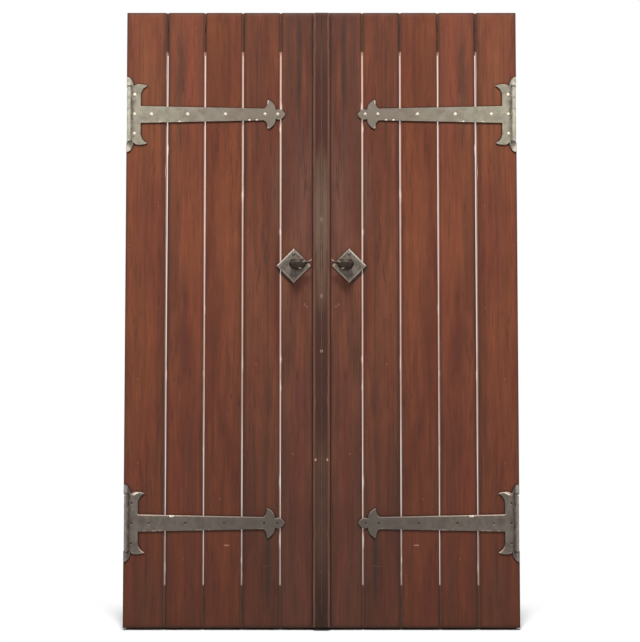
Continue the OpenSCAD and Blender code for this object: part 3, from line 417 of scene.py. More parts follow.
# cover strip over the meeting line, darker and greyer than the boards
stripLook = {
    "face": -0.088, "seed": 9.0, "sway": 0.006, "bandScale": 40.0, "greyShare": 0.4, "streak": 0.45,
    "mottle": 0.1,
    "warmTop": (62, 27, 16), "warmMid": (95, 68, 54), "warmLow": (46, 26, 18),
    "redTop": (59, 26, 17), "redLow": (50, 28, 20),
    "greyTop": (61, 36, 25), "greyLow": (47, 30, 22),
    "streakColor": (52, 34, 26), "lightColor": (92, 66, 52), "dashes": 0.5, "dashColor": (38, 25, 20),
    # dirt and painted shade at both ends
    "dirtColor": (44, 29, 23), "ends": (0.012, 2.104), "specks": 0.4, "speckColor": (128, 108, 90),
    # painted highlight on the outer chamfer
    "wornEdge": (134, 94, 78), "wornShare": 0.55, "wornFrom": 0.015,
    "rough": (0.5, 0.7), "specular": 0.15, "depth": 0.0008,
    "smears": [(0.0, 1.45, 0.0042, 0.8, (108, 82, 69), 0.7),
               (0.013, 1.40, 0.012, 0.24, (100, 84, 70), 0.6),
               (0.012, 0.50, 0.02, 0.26, (64, 40, 30), 0.5)],
    "marks": [
        {"at": (0.0205, -0.084, 0.574), "size": (0.004, 0.012, 0.006), "color": (214, 170, 120)},
        {"at": (0.003, -0.088, 1.127), "size": (0.003, 0.012, 0.008), "color": (140, 126, 112)},
        {"at": (0.003, -0.088, 1.385), "size": (0.003, 0.012, 0.012), "color": (118, 106, 92)},
        {"at": (0.003, -0.088, 0.94), "size": (0.002, 0.012, 0.006), "color": (132, 118, 100)},
    ],
}

# stiles and rails behind the boards
framingLook = {
    "seed": 14.0, "sway": 0.015, "bandScale": 14.0, "greyShare": 0.5, "streak": 0.4, "mottle": 0.12,
    "warmTop": (118, 70, 48), "warmMid": (112, 65, 45), "warmLow": (92, 53, 38),
    "redTop": (112, 62, 46), "redLow": (90, 50, 38),
    "greyTop": (90, 62, 47), "greyLow": (72, 47, 36),
    "streakColor": (74, 44, 32), "lightColor": (128, 80, 57), "dashes": 0.5, "dashColor": (54, 32, 24),
    "dirtColor": (60, 36, 28), "specks": 0.25, "speckColor": (140, 112, 92),
    "rough": (0.55, 0.75), "specular": 0.15, "depth": 0.0009,
}
railLook = dict(framingLook, across="z", seed=17.0)

# door frame: plain timber, a little darker
frameLook = dict(framingLook, seed=21.0, warmTop=(98, 62, 45), warmMid=(94, 58, 42), warmLow=(82, 51, 38),
                 redTop=(94, 56, 42), redLow=(80, 48, 37), greyTop=(82, 60, 47), greyLow=(68, 48, 38),
                 lightColor=(112, 76, 56), streakColor=(64, 40, 30))
frameRailLook = dict(frameLook, across="z", seed=24.0)
pegLook = dict(framingLook, seed=28.0, warmTop=(126, 90, 60), warmMid=(122, 86, 57), warmLow=(110, 76, 50),
               redTop=(120, 82, 56), redLow=(106, 72, 50), greyTop=(104, 80, 58), greyLow=(92, 68, 50),
               lightColor=(140, 104, 72), streakColor=(86, 58, 40))

# upper straps: pale worn paint, with painted highlights on the edges, along the knuckles and at the barb tips
paleLook = {
    "seed": 3.0, "cloudScale": 26.0, "dentScale": 70.0, "dentShare": 0.7,
    "dark": (112, 104, 90), "light": (140, 134, 115), "rust": (108, 88, 72), "rustShare": 0.4,
    "gritColor": (82, 73, 66), "gritShare": 0.45, "edgeWidth": 0.004, "edgeFrom": 0.2,
    "edgeColor": (146, 136, 118), "edgeShare": 0.5, "underColor": (166, 153, 135), "underShare": 0.6,
    "chipColor": (206, 194, 174), "crease": 0.6493, "barrelColor": (190, 182, 166), "barrelShare": 0.75,
    "tintScale": 34.0, "tints": [((124, 130, 110), 0.5), ((134, 122, 116), 0.5)],
    "farColor": (86, 71, 62), "farFrom": 0.64, "farTo": 0.2, "farShare": 0.7,
    "rough": (0.45, 0.65), "specular": 0.4, "metallic": 0.15, "bump": 0.55, "depth": 0.0012,
    "marks": [{"at": (at, -0.077, level), "size": (0.0045, 0.012, 0.0035), "color": (222, 208, 192)}
              for at, level in ((0.555, 1.7265), (0.487, 1.728), (0.247, 1.7335), (0.222, 1.734))]
             # painted highlights at the tips of the barbs
             + [{"at": (0.1845, -0.077, 1.797), "size": (0.003, 0.012, 0.009), "color": (206, 186, 170)},
                {"at": (0.185, -0.077, 1.708), "size": (0.0035, 0.012, 0.005), "color": (196, 172, 158)}],
}

# lower straps: greyer, with a painted highlight along the upper edge and the knuckles, and bare chips
darkLook = dict(
    paleLook, seed=6.0, dark=(73, 64, 57), light=(100, 90, 80), rust=(92, 74, 62), rustShare=0.35,
    gritColor=(56, 49, 44), edgeWidth=0.008, edgeColor=(206, 180, 162), edgeShare=1.0,
    underColor=(96, 86, 78), underShare=0.5, chipColor=(206, 186, 166), farColor=(68, 61, 53), farShare=0.65,
    barrelColor=(140, 134, 128), barrelShare=0.85, crease=0.652, metallic=0.3,
    tints=[((84, 84, 72), 0.5), ((92, 80, 78), 0.5)],
    marks=[{"at": (0.507, -0.077, 0.3835), "size": (0.009, 0.012, 0.0055), "color": (236, 222, 200)},
           {"at": (0.629, -0.077, 0.457), "size": (0.011, 0.012, 0.0032), "color": (238, 226, 206),
            "lean": -0.4},
           # painted highlight at the tip of the lower curl
           {"at": (0.603, -0.077, 0.262), "size": (0.007, 0.012, 0.004), "color": (178, 146, 132)}])

# handle plates: hammered grey iron with a painted highlight along the rim
plateLook = varied(
    darkLook, ("farColor", "farFrom", "farTo", "farShare", "barrelColor", "barrelShare"),
    seed=11.0, dark=(74, 63, 57), light=(106, 95, 86), cloudScale=60.0, dentScale=110.0, dentShare=1.0,
    edgeWidth=0.003, edgeColor=(150, 138, 124), edgeShare=0.25, underShare=0.4,
    rimColor=(162, 148, 134), rimShare=0.9, metallic=0.25, bump=0.8, depth=0.0016,
    tintScale=75.0, tints=[((88, 96, 80), 0.7), ((58, 54, 46), 0.7)],
    # painted highlight at the plate's inner corner
    marks=[{"at": (0.041, -0.075, 1.232), "size": (0.005, 0.01, 0.007), "color": (164, 126, 116)}])

# knobs: dark and burnished, lighter on their upper side as painted highlight, with painted highlights as small
# bright spots
knobLook = varied(
    plateLook, ("edgeWidth", "chipColor", "rimColor", "rimShare", "crease", "tintScale", "tints"),
    seed=13.0, dark=(22, 12, 7), light=(52, 37, 26), cloudScale=85.0, rust=(62, 40, 28),
    gritColor=(18, 12, 9), edgeFrom=0.5, edgeColor=(106, 88, 74), edgeShare=0.6,
    underColor=(42, 30, 23), underShare=0.5, rough=(0.42, 0.58), specular=0.2, metallic=0.0, bump=0.35,
    depth=0.0008, coat=0.05,
    # painted highlights: two reflections on the knob and one at the tip of its tail
    marks=[{"at": (0.072, -0.122, 1.2195), "size": (0.006, 0.02, 0.0032), "color": (186, 172, 156)},
           {"at": (0.060, -0.112, 1.2425), "size": (0.005, 0.03, 0.0035), "color": (136, 122, 110)},
           {"at": (0.0385, -0.108, 1.2485), "size": (0.007, 0.03, 0.006), "color": (164, 122, 112)}])

# lock cases and guides: dark satin paint, with painted highlights on upper edges and painted shade on lower
# edges
caseLook = varied(
    knobLook, ("coat", "marks"), seed=15.0, dark=(48, 43, 40), light=(68, 61, 56), cloudScale=20.0,
    rustShare=0.2, gritColor=(38, 34, 32), edgeColor=(104, 96, 88), edgeShare=0.35, underColor=(40, 35, 33),
    rough=(0.42, 0.62), specular=0.4, metallic=0.2, bump=0.4)

# rods, bolt, screws: worn zinc, with painted highlights on upper edges and painted shade on lower edges
steelLook = dict(
    caseLook, seed=19.0, dark=(146, 140, 128), light=(188, 181, 167), rust=(126, 100, 78), rustShare=0.35,
    gritColor=(104, 98, 90), edgeColor=(206, 200, 186), edgeShare=0.4, underColor=(112, 104, 94),
    rough=(0.3, 0.5), metallic=0.75, bump=0.3, depth=0.0005)

# studs: bright heads on the upper straps, dull on the handle plates, almost black on the lower straps
studLook = {"seed": 31.0, "bright": (206, 196, 172), "tip": (176, 165, 148), "dull": (110, 99, 90),
            "dark": (44, 38, 34)}


def studMaterial(name, look):
    material, tree = newTree(name)
    place, folded, height, _ = foldedPlace(tree)
    wear = noiseOf(tree, place, (160.0, 160.0, 160.0), 3.0, 0.6, 0.0, (look["seed"], 0, 0))
    color = tinted(tree, srgb(*look["dark"]), ranged(tree, height, 0.7, 0.8), look["dull"])
    bright = tinted(tree, srgb(*look["bright"]), ranged(tree, folded, 0.45, 0.2), look["tip"])
    color = blendColors(tree, ranged(tree, height, 1.4, 1.5), color, bright)
    color = shadedBy(tree, color, ranged(tree, wear, 0.3, 0.7, 0.8, 1.12))
    smooth = ranged(tree, height, 0.7, 1.5, 0.35, 0.0)
    roughness = math2(tree, "ADD", ranged(tree, wear, 0.3, 0.7, 0.3, 0.5), smooth)
    finishShader(tree, color, roughness, wear, {"strength": 0.4, "depth": 0.0006}, 0.3, 0.35)
    return material


materials = {
    "strip_wood": woodMaterial("stripWood", stripLook),
    "framing_wood": woodMaterial("framingWood", framingLook),
    "rail": woodMaterial("railWood", railLook),
    "frame_wood": woodMaterial("frameWood", frameLook),
    "frameRail": woodMaterial("frameRailWood", frameRailLook),
    "peg_wood": woodMaterial("pegWood", pegLook),
    "pale_iron": ironMaterial("paleIron", paleLook),
    "dark_iron": ironMaterial("darkIron", darkLook),
    "plate": ironMaterial("plateIron", plateLook),
    "knob_iron": ironMaterial("knobIron", knobLook),
    "case_iron": ironMaterial("caseIron", caseLook),
    "bright_steel": ironMaterial("wornSteel", steelLook),
    "stud": studMaterial("studSteel", studLook),
}
topTones = ("warmTop", "redTop", "greyTop", "lightColor")
otherTones = ("warmMid", "warmLow", "redLow", "greyLow", "streakColor")
boardMaterials = []
for index, traits in enumerate(boardTraits):
    look = dict(boardLook, seed=boardLook["seed"] + 2.3 * index, greyShare=traits["greyShare"],
                smears=traits["smears"], marks=traits.get("marks", []), dirt=[])
    for keys, tone in ((topTones, traits["topTone"]), (otherTones, traits["tone"])):
        for key in keys:
            mix = zip(look[key], tone, coolTint)
            look[key] = tuple(c * t * (1 + traits["cool"] * tint) for c, t, tint in mix)
    low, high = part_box("right_board_%d" % (index + 1))
    for key, edge, inward in (("inner", low.x, 1), ("outer", high.x, -1)):
        if key in traits:
            width, share = traits[key]
            look["dirt"].append({"from": edge + inward * (width + 0.004), "to": edge + inward * 0.003,
                                 "share": share})
    if index == 0:
        # painted shadow beside the cover strip
        look["dirt"].append({"from": 0.0345, "to": 0.0295, "share": 0.9})   # beside the cover strip
    boardMaterials.append(woodMaterial("boardWood%d" % (index + 1), look))
print("materials made")


def leafOf(side):
    return "left" if side < 0 else "right"


def newPiece(name, mesh, material, body, node):
    piece = bpy.data.objects.new(name, mesh)
    bpy.context.scene.collection.objects.link(piece)
    mesh.materials.append(material)
    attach(piece, body)
    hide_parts(node)
    return piece


def smoothFaces(mesh):
    mesh.polygons.foreach_set("use_smooth", [True] * len(mesh.polygons))


# a bar along Z with a given cross-section; shift moves a point for wear, side mirrors it to the left leaf
def barMesh(name, profile, stations, shift, side):
    verts, faces = [], []
    count = len(profile)
    for z, inset in stations:
        for x, y, tag in profile:
            px, py, pz = shift(x, y, z, inset, tag)
            verts.append((px * side, py, pz))
    for row in range(len(stations) - 1):
        for col in range(count):
            a, b = row * count + col, row * count + (col + 1) % count
            faces.append((a, b, b + count, a + count))
    faces.append(tuple(range(count - 1, -1, -1)))
    last = (len(stations) - 1) * count
    faces.append(tuple(range(last, last + count)))
    if side < 0:
        faces = [tuple(reversed(face)) for face in faces]
    mesh = bpy.data.meshes.new(name)
    mesh.from_pydata(verts, [], faces)
    mesh.update()
    smoothFaces(mesh)
    mesh.set_sharp_from_angle(angle=math.radians(38))
    return mesh


# draws a point of a bar's end in towards the middle of its section
def rounded(px, py, inset, xs, ys):
    px += (sum(xs) / 2 - px) * inset / (xs[1] - xs[0]) * 2
    py += (sum(ys) / 2 - py) * inset / (ys[1] - ys[0]) * 2
    return px, py


def spread(a, b, steps):
    return [tuple(mixed(p, q, i / steps) for p, q in zip(a, b)) for i in range(steps)]


def stationsOf(low, high, steps, round):
    ends = [(low, round), (low + round * 0.35, round * 0.35), (low + round, 0.0)]
    inner = [(mixed(low, high, i / steps), 0.0) for i in range(1, steps)]
    return ends + inner + [(high - round, 0.0), (high - round * 0.35, round * 0.35), (high, round)]


# boards with waving edges, a few nicks and a slightly uneven face
boardShape = {
    "steps": 130, "faceSteps": 22, "chamfer": 0.004, "meetArris": 0.0006, "outerArris": 0.002, "round": 0.0012,
    "wave": 0.0004, "waveReach": 0.012, "uneven": 0.0005,
    "seed": 40, "nicks": 7, "nickDepth": 0.0016, "nickSink": 0.6,
    "notchDeep": 0.010, "notchRoom": 0.002, "notchStep": 0.00005,
    # a thin lip inside each gap leaves an open slot: half widths by height, gaps counted from the meeting line
    "gap": 0.0046, "lipAt": (0.0050, 0.0066, 0.0080, 0.0088),
    "slotIn": (0.0001, 0.0002, 0.0003, 0.0005),
    "slotAt": (0.0, 0.3, 0.55, 0.85, 1.1, 1.5, 2.1),
    "slots": [(0.0004, 0.0004, 0.0008, 0.0004, 0.0005, 0.0006, 0.0006),
              (0.0005, 0.0005, 0.0010, 0.0004, 0.0006, 0.0007, 0.0007),
              (0.0006, 0.0007, 0.0008, 0.0005, 0.0008, 0.0010, 0.0010),
              (0.0004, 0.0004, 0.0013, 0.0007, 0.0011, 0.0014, 0.0014)],
}


def slotHalf(gap, z):
    rows = list(zip(boardShape["slotAt"], boardShape["slots"][gap]))
    for (z0, a), (z1, b) in zip(rows, rows[1:]):
        if z <= z1:
            return mixed(a, b, max(0.0, (z - z0) / (z1 - z0)))
    return rows[-1][1]


def buildBoard(side, number):
    leaf = leafOf(side)
    node = "%s_board_%d" % (leaf, number)
    low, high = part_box(node)
    inner, outer = sorted((abs(low.x), abs(high.x)))
    front, back = low.y, high.y
    notches = []
    if number == 5:
        # the outer board gives way to the hinge plates
        for level in ("top", "bottom"):
            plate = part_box("hinge_plate_%s_%s" % (level, leaf))
            notches.append((plate[0].z - boardShape["notchRoom"], plate[1].z + boardShape["notchRoom"]))
    cutIn = boardShape["meetArris" if number == 1 else "chamfer"]
    cutOut = boardShape["outerArris" if number == 5 else "chamfer"]
    rng = random.Random(boardShape["seed"] + number)
    nicks = [(rng.uniform(low.z, high.z), rng.choice((-1, 1)), rng.uniform(0.3, 1.0), rng.uniform(0.008, 0.03))
             for _ in range(boardShape["nicks"])]
    # tags: 0 back, 1 side, 2 chamfer, 3 face, 4 lip; below 0 towards the meeting line
    profile = spread((inner, back, 0), (outer, back, 0), 6)
    lip = [front + depth for depth in boardShape["lipAt"]]
    lipTags = (1, 4, 4, 1)
    profile += [(outer, back, 1)]
    if number < 5:
        profile += [(outer, y, tag) for y, tag in zip(lip[::-1], lipTags)]
    profile += spread((outer, front + cutOut, 2), (outer - cutOut, front, 2), 2)
    profile += spread((outer - cutOut, front, 3), (inner + cutIn, front, 3), boardShape["faceSteps"])
    profile += spread((inner + cutIn, front, -2), (inner, front + cutIn, -2), 2)
    profile += [(inner, front + cutIn, -1)]
    if number > 1:
        profile += [(inner, y, -tag) for y, tag in zip(lip, lipTags)]
    middle = (inner + outer) / 2

    def shift(x, y, z, inset, tag):
        hand = 1 if x > middle else -1
        reach = max(0.0, 1.0 - min(x - inner, outer - x) / boardShape["waveReach"])
        if any(a < z < b for a, b in notches):
            x = min(x, outer - boardShape["notchDeep"])
        wave = noise.noise((z * 2.6, hand * 5.0, number * 3.1)) * boardShape["wave"]
        wave += noise.noise((z * 15.0, hand * 7.0, number * 5.3)) * boardShape["wave"] * 0.5
        covered = (number == 1 and hand < 0) or (number == 5 and hand > 0)
        bite = 0.0
        for at, nickHand, depth, half in nicks:
            away = abs(z - at) / half
            if nickHand == hand and away < 1.0 and not covered:
                bite = max(bite, depth * (1 - away * away))
        px, py = x, y
        if abs(tag) == 4:
            gap = number - 1 if hand > 0 else number - 2
            px += hand * (boardShape["gap"] / 2 - slotHalf(gap, z)) - boardShape["slotIn"][gap]
        if not covered:
            px += wave * reach
        if abs(tag) >= 1 and y < mixed(front, back, 0.5):
            px -= hand * bite * boardShape["nickDepth"] * reach
            py += bite * boardShape["nickDepth"] * boardShape["nickSink"]
        if y < front + 0.001:
            py += (0.5 + 0.5 * noise.noise((x * 16.0, z * 2.0, number * 9.0))) * boardShape["uneven"]
        return *rounded(px, py, inset, (inner, outer), (front, back)), z

    stations = stationsOf(low.z, high.z, boardShape["steps"], boardShape["round"])
    step = boardShape["notchStep"]
    stations += [(z + d, 0.0) for notch in notches for z in notch for d in (-step, step)]
    mesh = barMesh("%sBoard%d" % (leaf, number), profile, sorted(stations), shift, side)
    newPiece(mesh.name, mesh, boardMaterials[number - 1], leaf + "_leaf", node)


for side in (-1, 1):
    for number in range(1, 6):
        buildBoard(side, number)
print("boards made")


# half of the cover strip, with a worn chamfer along its outer edge
stripShape = {"meet": 0.00005, "steps": 150, "chamfer": 0.007, "arris": 0.001, "round": 0.001, "wave": 0.0005,
              "uneven": 0.0004, "seed": 71, "bites": 12, "biteIn": 0.0018, "biteSink": 0.0014}


def buildStrip(side):
    leaf = leafOf(side)
    node = leaf + "_cover_strip"
    low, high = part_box(node)
    inner, outer = stripShape["meet"], max(abs(low.x), abs(high.x))
    front, back = low.y, high.y
    rng = random.Random(stripShape["seed"])
    bites = [(rng.uniform(low.z, high.z), rng.uniform(0.3, 1.0), rng.uniform(0.006, 0.02))
             for _ in range(stripShape["bites"])]
    cut, arris = stripShape["chamfer"], stripShape["arris"]
    profile = spread((inner, back, 0), (outer, back, 0), 3)
    profile += spread((outer, back, 1), (outer, front + cut, 1), 3)
    profile += spread((outer, front + cut, 2), (outer - cut, front, 2), 3)
    profile += spread((outer - cut, front, 3), (inner + arris, front, 3), 8)
    profile += spread((inner + arris, front, -2), (inner, front + arris, -2), 2)
    profile += spread((inner, front + arris, -1), (inner, back, -1), 2)

    def shift(x, y, z, inset, tag):
        px, py = x, y
        wave = noise.noise((z * 4.0, 3.0, 2.0)) * stripShape["wave"]
        wave += noise.noise((z * 22.0, 4.0, 2.0)) * stripShape["wave"]
        if tag == 2 or (tag == 3 and x > outer - cut - 0.001):
            px -= abs(wave) * 1.5
            near = [depth * (1 - ((z - at) / half) ** 2) for at, depth, half in bites if abs(z - at) < half]
            bite = max([0.0] + near)
            px -= bite * stripShape["biteIn"]
            py += bite * stripShape["biteSink"]
        if tag == 3:
            py += (0.5 + 0.5 * noise.noise((x * 40.0, z * 2.0, 6.0))) * stripShape["uneven"]
        return *rounded(px, py, inset, (inner, outer), (front, back)), z

    stations = stationsOf(low.z, high.z, stripShape["steps"], stripShape["round"])
    mesh = barMesh(leaf + "CoverStrip", profile, stations, shift, side)
    newPiece(mesh.name, mesh, materials["strip_wood"], leaf + "_leaf", node)


for side in (-1, 1):
    buildStrip(side)
print("cover strips made")

# diamond handle plates: bevelled rim, shallow groove inside it and hammered field; the rim carries painted
# highlight weights, strongest on the upper outer side
plateShape = {"cells": 64, "rim": 0.003, "bevel": 0.00636, "groove": 0.0005, "grooveAt": 0.0085,
              "grooveWide": 0.0012, "dent": 0.0007, "dentFade": 0.004, "wobble": 0.006,
              "lightRim": 0.004, "lightFade": 0.002, "wallLight": 0.4,
              "lit": {"upperOuter": 1.0, "upperInner": 0.2, "lowerOuter": 0.55, "lowerInner": 0.55}}


def buildPlate(side):
    leaf = leafOf(side)
    node = leaf + "_handle_plate"
    low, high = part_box(node)
    centre = (low + high) / 2
    half = (high.z - low.z) / 2 / math.sqrt(2)
    thick = high.y - low.y
    count = plateShape["cells"]
    verts, faces, rims = [], [], []
    for i in range(count + 1):
        for j in range(count + 1):
            s, t = (2 * i / count - 1) * half, (2 * j / count - 1) * half
            inside = half - max(abs(s), abs(t))
            x, z = (s - t) / math.sqrt(2), (s + t) / math.sqrt(2)
            h = plateShape["rim"] + (thick - plateShape["rim"]) * min(1.0, inside / plateShape["bevel"])
            off = (inside - plateShape["grooveAt"]) / plateShape["grooveWide"]
            h -= plateShape["groove"] * math.exp(-off ** 2)
            field = inside - plateShape["bevel"]
            if field > 0:
                deep = noise.noise((abs(x) * 130, z * 130, 2.0))
                deep += 0.5 * noise.noise((abs(x) * 300, z * 300, 5.0))
                h -= max(0.0, deep) * plateShape["dent"] * min(1.0, field / plateShape["dentFade"])
            wobble = 1 - plateShape["wobble"] * (0.5 + 0.5 * noise.noise((s * 60, t * 60, 3.0)))
            verts.append((centre.x + x * wobble * -side, high.y - h, centre.z + z * wobble))
            lit = max(((s, "upperInner"), (t, "upperOuter"), (-s, "lowerOuter"), (-t, "lowerInner")))[1]
            bright = 1 - (inside - plateShape["lightRim"]) / plateShape["lightFade"]
            rims.append(min(1.0, max(0.0, bright)) * plateShape["lit"][lit])
    for i in range(count):
        for j in range(count):
            a = i * (count + 1) + j
            faces.append((a, a + 1, a + count + 2, a + count + 1))
    # walls down to the board, then the back
    rim = [i * (count + 1) for i in range(count)] + [count * (count + 1) + j for j in range(count)]
    rim += [(count - i) * (count + 1) + count for i in range(count)] + [count - j for j in range(count)]
    start = len(verts)
    for index in rim:
        verts.append((verts[index][0], high.y, verts[index][2]))
        rims.append(plateShape["wallLight"])
    for k in range(len(rim)):
        m = (k + 1) % len(rim)
        faces.append((rim[k], rim[m], start + m, start + k))
    faces.append(tuple(range(start, start + len(rim))))
    mesh = bpy.data.meshes.new(leaf + "HandlePlate")
    mesh.from_pydata(verts, [], faces)
    fix = bmesh.new()
    fix.from_mesh(mesh)
    bmesh.ops.recalc_face_normals(fix, faces=fix.faces)
    fix.to_mesh(mesh)
    fix.free()
    mesh.attributes.new("rim", "FLOAT", "POINT").data.foreach_set("value", rims)
    smoothFaces(mesh)
    mesh.set_sharp_from_angle(angle=math.radians(32))
    newPiece(mesh.name, mesh, materials["plate"], leaf + "_leaf", node)


for side in (-1, 1):
    buildPlate(side)
print("handle plates made")

# oval knobs with a pointed tail, grown together from a sphere, a neck and a row of beads;
# the tail's points lie towards the meeting line and above the axis, each with its radius
knobShape = {
    "axis": (0.0945, 1.232), "in": 0.013, "up": 0.004, "length": 0.058, "width": 0.044,
    "tail": [(0.0362, 0.0072, 0.0070), (0.0515, 0.0105, 0.0044), (0.061, 0.019, 0.0018)], "beads": 29,
    "neck": 0.011, "voxel": 0.0011, "ease": (0.5, 5), "dent": 0.0005, "dentScale": 120,
    "groove": 0.0018, "grooveAt": 0.42, "grooveWide": 0.11,
}


def buildKnob(side, outside):
    leaf = leafOf(side)
    node = leaf + ("_handle" if outside else "_inside_handle")
    low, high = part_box(node)
    foot = high.y if outside else low.y
    hand = -1 if outside else 1
    radius = knobShape["width"] / 2
    middle = (low.y if outside else high.y) - hand * radius
    axisX, axisZ = knobShape["axis"]
    work = bmesh.new()

    def ball(x, y, z, radii, detail):
        shape = Matrix.Translation((x * side, y, z)) @ Matrix.Diagonal((*radii, 1.0))
        bmesh.ops.create_icosphere(work, subdivisions=detail, radius=1.0, matrix=shape)

    ball(axisX - knobShape["in"], middle, axisZ + knobShape["up"], (knobShape["length"] / 2, radius, radius), 5)
    turn = Matrix.Translation((axisX * side, (foot + middle) / 2, axisZ))
    turn = turn @ Matrix.Rotation(math.radians(90), 4, "X")
    bmesh.ops.create_cone(work, cap_ends=True, segments=40, radius1=knobShape["neck"],
                          radius2=knobShape["neck"], depth=abs(middle - foot), matrix=turn)
    a, b, c = knobShape["tail"]
    via = [2 * b[k] - (a[k] + c[k]) / 2 for k in range(3)]
    for i in range(knobShape["beads"]):
        t = i / (knobShape["beads"] - 1)
        x, z, r = [(1 - t) ** 2 * a[k] + 2 * t * (1 - t) * via[k] + t * t * c[k] for k in range(3)]
        ball(axisX - x, middle, axisZ + z, (r, r, r), 2)
    rough = bpy.data.meshes.new("rough")
    work.to_mesh(rough)
    work.free()
    holder = bpy.data.objects.new("rough", rough)
    bpy.context.scene.collection.objects.link(holder)
    grown = holder.modifiers.new("grown", "REMESH")
    grown.mode, grown.voxel_size = "VOXEL", knobShape["voxel"]
    eased = holder.modifiers.new("eased", "SMOOTH")
    eased.factor, eased.iterations = knobShape["ease"]
    seen = holder.evaluated_get(bpy.context.evaluated_depsgraph_get())
    mesh = bpy.data.meshes.new_from_object(seen)
    mesh.name = leaf + ("Handle" if outside else "InsideHandle")
    bpy.data.objects.remove(holder)
    scale = knobShape["dentScale"]
    for v in mesh.vertices:
        deep = max(0.0, noise.noise((abs(v.co.x) * scale, v.co.y * scale, v.co.z * scale)))
        level = (v.co.z - axisZ - knobShape["up"]) / radius
        groove = math.exp(-((level - knobShape["grooveAt"]) / knobShape["grooveWide"]) ** 2)
        v.co -= v.normal * (deep * knobShape["dent"] + groove * knobShape["groove"])
    smoothFaces(mesh)
    newPiece(mesh.name, mesh, materials["knob_iron"], leaf + "_handle", node)


for side in (-1, 1):
    for outside in (True, False):
        buildKnob(side, outside)
print("knobs made")

# the other solids keep their own meshes, with eased edges
easedEdges = {"frame_wood": 0.0025, "framing_wood": 0.002, "peg_wood": 0.0008, "pale_iron": 0.0016,
              "dark_iron": 0.0018, "case_iron": 0.0012, "knob_iron": 0.0006, "bright_steel": 0.0005}
for name, piece in nodes.items():
    if piece.hide_render:
        continue
    slotName = slots[name]
    material = materials[slotName]
    if name.endswith("_rail"):
        material = materials["rail"]
    if name in ("head", "sill"):
        material = materials["frameRail"]
    if name.endswith("_studs"):
        material = materials["stud"]
    piece.data.materials.clear()
    piece.data.materials.append(material)
    joined = piece.modifiers.new("joined", "WELD")
    joined.merge_threshold = 0.00002
    eased = piece.modifiers.new("eased", "BEVEL")
    eased.width, eased.segments, eased.limit_method = easedEdges[slotName], 2, "ANGLE"
    eased.angle_limit = math.radians(40)
    eased.use_clamp_overlap = True
    even = piece.modifiers.new("even", "WEIGHTED_NORMAL")
    even.keep_sharp = True
print("solids dressed")

# pale floor: it holds the shadow close to the door and turns into the white background farther out
stage = {"size": 14.0, "half": (0.66, 0.12), "fade": 0.45, "color": (0.86, 0.86, 0.86, 1.0)}


def buildFloor():
    mesh = bpy.data.meshes.new("floor")
    half = stage["size"] / 2
    corners = [(-half, -half, 0), (half, -half, 0), (half, half, 0), (-half, half, 0)]
    mesh.from_pydata(corners, [], [(0, 1, 2, 3)])
    floor = bpy.data.objects.new("floor", mesh)
    floor.location.z = -0.0005
    bpy.context.scene.collection.objects.link(floor)
    material, tree = newTree("floorPaint")
    coord = put(tree, "ShaderNodeTexCoord")
    parts = put(tree, "ShaderNodeSeparateXYZ", {0: coord.outputs["Object"]})
    beyond = []
    for k in (0, 1):
        past = math2(tree, "SUBTRACT", math2(tree, "ABSOLUTE", parts.outputs[k]), stage["half"][k])
        beyond.append(math2(tree, "MAXIMUM", past))
    beside = put(tree, "ShaderNodeCombineXYZ", {0: beyond[0], 1: beyond[1]}).outputs[0]
    length = put(tree, "ShaderNodeVectorMath", {0: beside}, operation="LENGTH").outputs["Value"]
    away = ranged(tree, length, 0.0, stage["fade"], smooth=True)
    rays = put(tree, "ShaderNodeLightPath")
    away = times(tree, away, rays.outputs["Is Camera Ray"])
    paint = put(tree, "ShaderNodeBsdfDiffuse", {"Color": stage["color"]})
    glow = put(tree, "ShaderNodeEmission", {"Color": (1.0, 1.0, 1.0, 1.0), "Strength": 1.0})
    both = put(tree, "ShaderNodeMixShader", {0: away, 1: paint.outputs[0], 2: glow.outputs[0]})
    put(tree, "ShaderNodeOutputMaterial", {"Surface": both.outputs[0]})
    mesh.materials.append(material)


buildFloor()

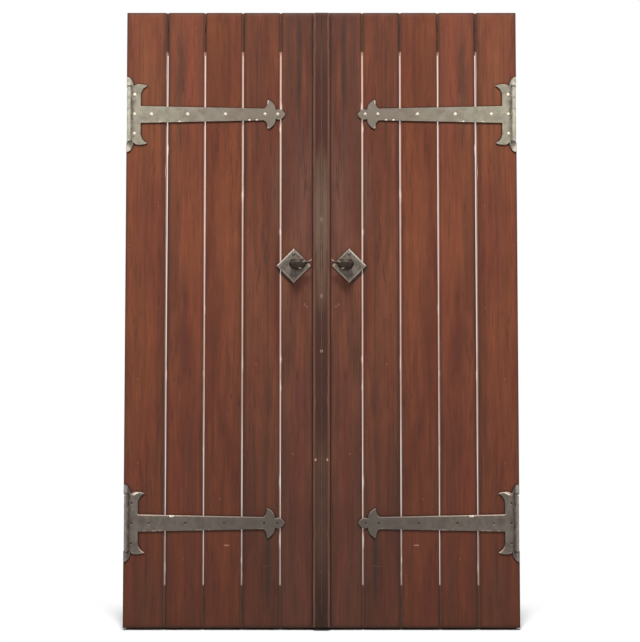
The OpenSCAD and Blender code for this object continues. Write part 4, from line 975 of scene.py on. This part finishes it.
# soft light: white surroundings, a large lamp high in front, weaker ones on each side and one behind
light = {
    "around": 0.3, "target": (0, 0, 1.0),
    "lamps": [{"name": "keyLamp", "place": (0.0, -3.6, 6.6), "size": 1.5, "power": 570.0},
              {"name": "leftLamp", "place": (-3.2, -2.6, 1.6), "size": 1.8, "power": 16.0},
              {"name": "rightLamp", "place": (3.2, -2.6, 1.6), "size": 1.8, "power": 16.0},
              {"name": "backLamp", "place": (0.5, 3.4, 3.4), "size": 2.4, "power": 40.0}],
}
for row in light["lamps"]:
    lamp = bpy.data.lights.new(row["name"], "AREA")
    lamp.shape, lamp.size, lamp.energy = "DISK", row["size"], row["power"]
    holder = bpy.data.objects.new(row["name"], lamp)
    holder.location = row["place"]
    aim = Vector(light["target"]) - Vector(row["place"])
    holder.rotation_euler = aim.to_track_quat("-Z", "Y").to_euler()
    holder.visible_camera = False
    bpy.context.scene.collection.objects.link(holder)

world = bpy.data.worlds.new("surroundings")
bpy.context.scene.world = world
world.use_nodes = True
sky = world.node_tree
sky.nodes.clear()
rays = put(sky, "ShaderNodeLightPath")
seen = math2(sky, "MAXIMUM", rays.outputs["Is Camera Ray"], rays.outputs["Is Glossy Ray"])
seen = math2(sky, "MAXIMUM", seen, rays.outputs["Is Transmission Ray"])
soft = put(sky, "ShaderNodeBackground", {"Color": (0.98, 0.99, 1.0, 1.0), "Strength": light["around"]})
white = put(sky, "ShaderNodeBackground", {"Color": (1.0, 1.0, 1.0, 1.0), "Strength": 1.0})
both = put(sky, "ShaderNodeMixShader", {0: seen, 1: soft.outputs[0], 2: white.outputs[0]})
put(sky, "ShaderNodeOutputWorld", {"Surface": both.outputs[0]})

# camera in front of the door, a little below its middle and tilted up by three degrees
view = {"place": (-0.005, -4.52, 0.812), "tilt": 2.97, "lens": 73.5}
lens = bpy.data.cameras.new("camera")
lens.sensor_fit, lens.sensor_width, lens.lens = "HORIZONTAL", 36.0, view["lens"]
lens.clip_end = 100.0
camera = bpy.data.objects.new("camera", lens)
camera.location = view["place"]
camera.rotation_euler = (math.radians(90 + view["tilt"]), 0, 0)
bpy.context.scene.collection.objects.link(camera)
bpy.context.scene.camera = camera
bpy.context.scene.view_settings.view_transform = "Standard"
print("light and camera set")
